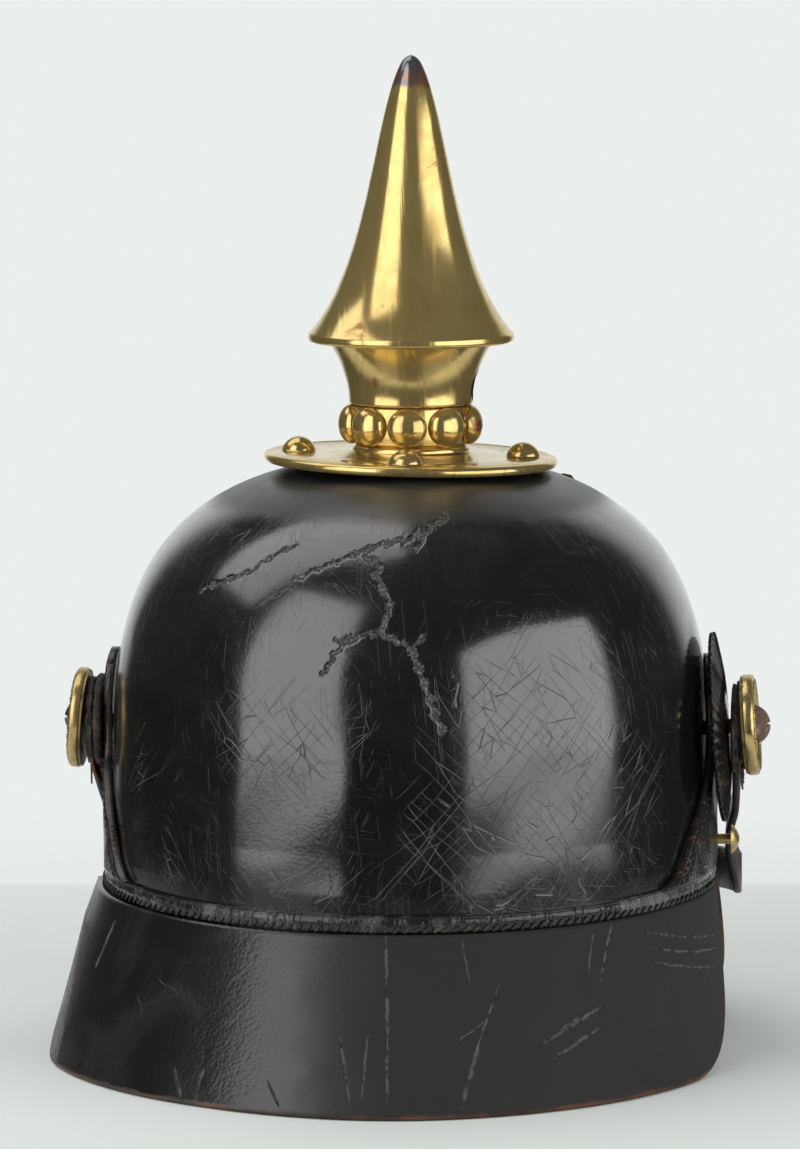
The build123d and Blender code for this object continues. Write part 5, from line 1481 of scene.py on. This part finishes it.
def addPlateBoss(points, faces):
    look = plateLook
    seat = (float(widthAt(look["centre"])) + look["gap"]) * lengthShare
    dome = (look["boss"] ** 2 + look["bossHeight"] ** 2) / (2 * look["bossHeight"])
    arc = np.linspace(0.004, math.asin(look["boss"] / dome), 26)
    columns = look["bossColumns"]
    beads = 0.35 * np.abs(np.sin(look["beads"] * np.linspace(0, 2 * math.pi, columns, endpoint=False)))
    rows = [(np.full(columns, dome * math.sin(a)), dome * math.cos(a) - dome + look["bossHeight"] + 0.25)
            for a in arc]
    rows += [(14.3, 0.5), (14.6, 0.9 + beads), (15.6, 1.1 + beads), (16.2, 0.4), (16.2, -0.6), (14.0, -0.6),
             (0.1, -0.6)]
    place = Matrix.Translation((0, seat, look["centre"])) @ Matrix.Rotation(math.radians(-90), 4, "X")
    addPolar(points, faces, rows, place)


def addPost(points, faces, side):
    look = plateLook
    ray, height = math.radians(look["postAngle"]), look["postHeight"]
    width = float(widthAt(height))
    reach = 1 / math.sqrt((math.cos(ray) / width) ** 2 + (math.sin(ray) / (width * lengthShare)) ** 2)
    foot = np.array([side * reach * math.cos(ray), reach * math.sin(ray), height])
    way = np.array([side * math.cos(ray), math.sin(ray), 0])
    path = [foot + way * t for t in np.linspace(*look["postRun"], 8)]
    addRibbon(points, faces, path, (0, 0, 1), *look["postSize"])


def makePlate():
    look = plateLook
    feathers = [(a, look["reach"] * share) for a, share in zip(look["angles"], look["shares"])]
    feathers += [(180 - a, reach) for a, reach in feathers]
    feathers += [(a, look["tail"]) for a in look["tailAngles"]]
    points, faces = [], []
    for index, (angle, reach) in enumerate(feathers):
        addFeather(points, faces, angle, reach, index % 2 == 0)
    addPlateBoss(points, faces)
    for side in (-1, 1):
        addPost(points, faces, side)
    piece = meshPiece("frontPlateSkin", np.array(points) * mm, faces, [polishedBrass], slot="polished_brass")
    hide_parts("front_plate")


makePlate()
print("front plate made")


# The CAD solids that stay get their finishes
finishes = {
    "sweatband": liningLeather, "liner": liningLeather,
    "stud_washers": dullBrass, "plate_nuts": dullBrass,
    "left_backing_plate": dullBrass, "right_backing_plate": dullBrass,
    "left_boss_screw": greySteel, "right_boss_screw": rustySteel,
    "boss_washers": greySteel, "boss_nuts": greySteel, "side_button": satinBrass,
    "left_strap_slide": satinBrass, "right_strap_slide": satinBrass,
}
for node, material in finishes.items():
    mesh = cadNodes[node].data
    mesh.materials.clear()
    mesh.materials.append(material)
print("CAD solids finished")


# Studio: pale table and backdrop, soft boxes on all sides
studio = {"backdrop": (0.83, 0.86, 0.85), "table": (0.745, 0.775, 0.74), "tableEdge": 0.3, "edgeBlur": 0.006,
          "tableReach": (0.3, 0.42), "openBehind": (0.82, 0.97), "litNear": (0.2, 0.55), "unlit": 0.02,
          "half": 9, "daylight": (0.9, 0.93, 0.95), "dim": 0.34, "reflected": 0.045, "overhead": 0.03}


def makeFloor():
    material, tree, shader, coords = startMaterial("studioFloor")
    mesh = bpy.data.meshes.new("studioFloor")
    half = studio["half"]
    mesh.from_pydata([(-half, -half, 0), (half, -half, 0), (half, half, 0), (-half, half, 0)], [],
                     [(0, 1, 2, 3)])
    floor = bpy.data.objects.new("studioFloor", mesh)
    bpy.context.scene.collection.objects.link(floor)
    floor.location.z = cadBox[0][2] - 0.0002
    mesh.materials.append(material)
    along = vectorSums(tree, "DOT_PRODUCT", coords, (-math.sin(turn), math.cos(turn), 0), "Value")
    edge, blur = studio["tableEdge"], studio["edgeBlur"]
    far = spread(tree, along, edge - blur, edge + blur)
    colour = mixed(tree, far, studio["table"], studio["backdrop"])
    tree.links.new(colour, shader.inputs["Base Color"])
    shader.inputs["Roughness"].default_value = 0.7
    shader.inputs["Specular IOR Level"].default_value = 0.15
    glow = put(tree, "ShaderNodeEmission", {"Color": colour})
    rays = put(tree, "ShaderNodeLightPath").outputs
    shiny = sums(tree, "ADD", rays["Is Glossy Ray"], rays["Is Transmission Ray"])
    seen = sums(tree, "MINIMUM", sums(tree, "ADD", rays["Is Camera Ray"], shiny), 1.0)
    distance = vectorSums(tree, "LENGTH", coords, output="Value")
    away = spread(tree, distance, *studio["litNear"])
    both = put(tree, "ShaderNodeMixShader", {0: sums(tree, "MULTIPLY", seen, away), 1: shader.outputs[0],
                                            2: glow.outputs[0]})
    # in reflections the floor is dark beyond the table, except straight behind the helmet
    unlit = put(tree, "ShaderNodeEmission", {"Color": (*[studio["unlit"]] * 3, 1)})
    facing = sums(tree, "DIVIDE", along, sums(tree, "MAXIMUM", distance, 0.01))
    beyond = spread(tree, distance, *studio["tableReach"])
    beside = sums(tree, "MULTIPLY", beyond, spread(tree, facing, *studio["openBehind"], 1.0, 0.0))
    beside = sums(tree, "MULTIPLY", rays["Is Glossy Ray"], beside)
    both = put(tree, "ShaderNodeMixShader", {0: beside, 1: both.outputs[0], 2: unlit.outputs[0]})
    output = [n for n in tree.nodes if n.type == "OUTPUT_MATERIAL"][0]
    tree.links.new(both.outputs[0], output.inputs["Surface"])


def makeWorld():
    world = bpy.data.worlds.new("studioWorld")
    bpy.context.scene.world = world
    world.use_nodes = True
    tree = world.node_tree
    tree.nodes.clear()
    rays = put(tree, "ShaderNodeLightPath").outputs
    direction = put(tree, "ShaderNodeTexCoord").outputs["Generated"]
    behind = spread(tree, vectorSums(tree, "DOT_PRODUCT", direction, (0, 0.98, 0.17), "Value"), 0.8, 0.93)
    up = spread(tree, put(tree, "ShaderNodeSeparateXYZ", {0: direction}).outputs["Z"], 0.2, 0.9)
    overhead = sums(tree, "MULTIPLY", up, studio["overhead"])
    level = sums(tree, "ADD", studio["reflected"], sums(tree, "MAXIMUM", behind, overhead))
    pale = put(tree, "ShaderNodeBackground", {"Color": (*studio["backdrop"], 1)})
    glossy = put(tree, "ShaderNodeBackground", {"Color": (*studio["backdrop"], 1), "Strength": level})
    dim = put(tree, "ShaderNodeBackground", {"Color": (*studio["daylight"], 1), "Strength": studio["dim"]})
    shiny = sums(tree, "ADD", rays["Is Glossy Ray"], rays["Is Transmission Ray"])
    first = put(tree, "ShaderNodeMixShader", {0: shiny, 1: dim.outputs[0], 2: glossy.outputs[0]})
    second = put(tree, "ShaderNodeMixShader",
                 {0: rays["Is Camera Ray"], 1: first.outputs[0], 2: pale.outputs[0]})
    output = put(tree, "ShaderNodeOutputWorld")
    tree.links.new(second.outputs[0], output.inputs["Surface"])


softBoxes = {
    "leftBox": {"place": (-0.462, -0.431, 0.5), "size": (0.52, 1.0), "power": 3.55},
    "rightBox": {"place": (0.52, -0.338, 0.26), "size": (0.745, 0.52), "power": 2.85},
    "topBox": {"place": (-0.58, 0.28, 1.0), "size": (1.15, 0.72), "power": 4.2, "level": True},
    "frontLeftBox": {"place": (-0.75, 1.35, 1.1), "size": (0.6, 0.8), "power": 5.0, "dull": True},
    "frontRightBox": {"place": (0.85, 1.3, 1.1), "size": (0.6, 0.8), "power": 5.0, "dull": True},
}


def makeLights():
    # places are seen from the camera: right, away from it, and up
    for name, box in softBoxes.items():
        data = bpy.data.lights.new(name, "AREA")
        data.shape = "RECTANGLE"
        data.size, data.size_y = box["size"]
        data.energy = box["power"]
        lamp = bpy.data.objects.new(name, data)
        bpy.context.scene.collection.objects.link(lamp)
        right, away, up = box["place"]
        lamp.location = (right * math.cos(turn) - away * math.sin(turn),
                         right * math.sin(turn) + away * math.cos(turn), up)
        if box.get("level"):
            lamp.rotation_euler = (0, 0, turn)
        else:
            aim = Vector((0, 0, up if abs(away) < 0.5 else 0.13)) - lamp.location
            lamp.rotation_euler = aim.to_track_quat("-Z", "Y").to_euler()
        lamp.visible_camera = False
        lamp.visible_glossy = not box.get("dull")


makeFloor()
makeWorld()
makeLights()
print("studio lit")
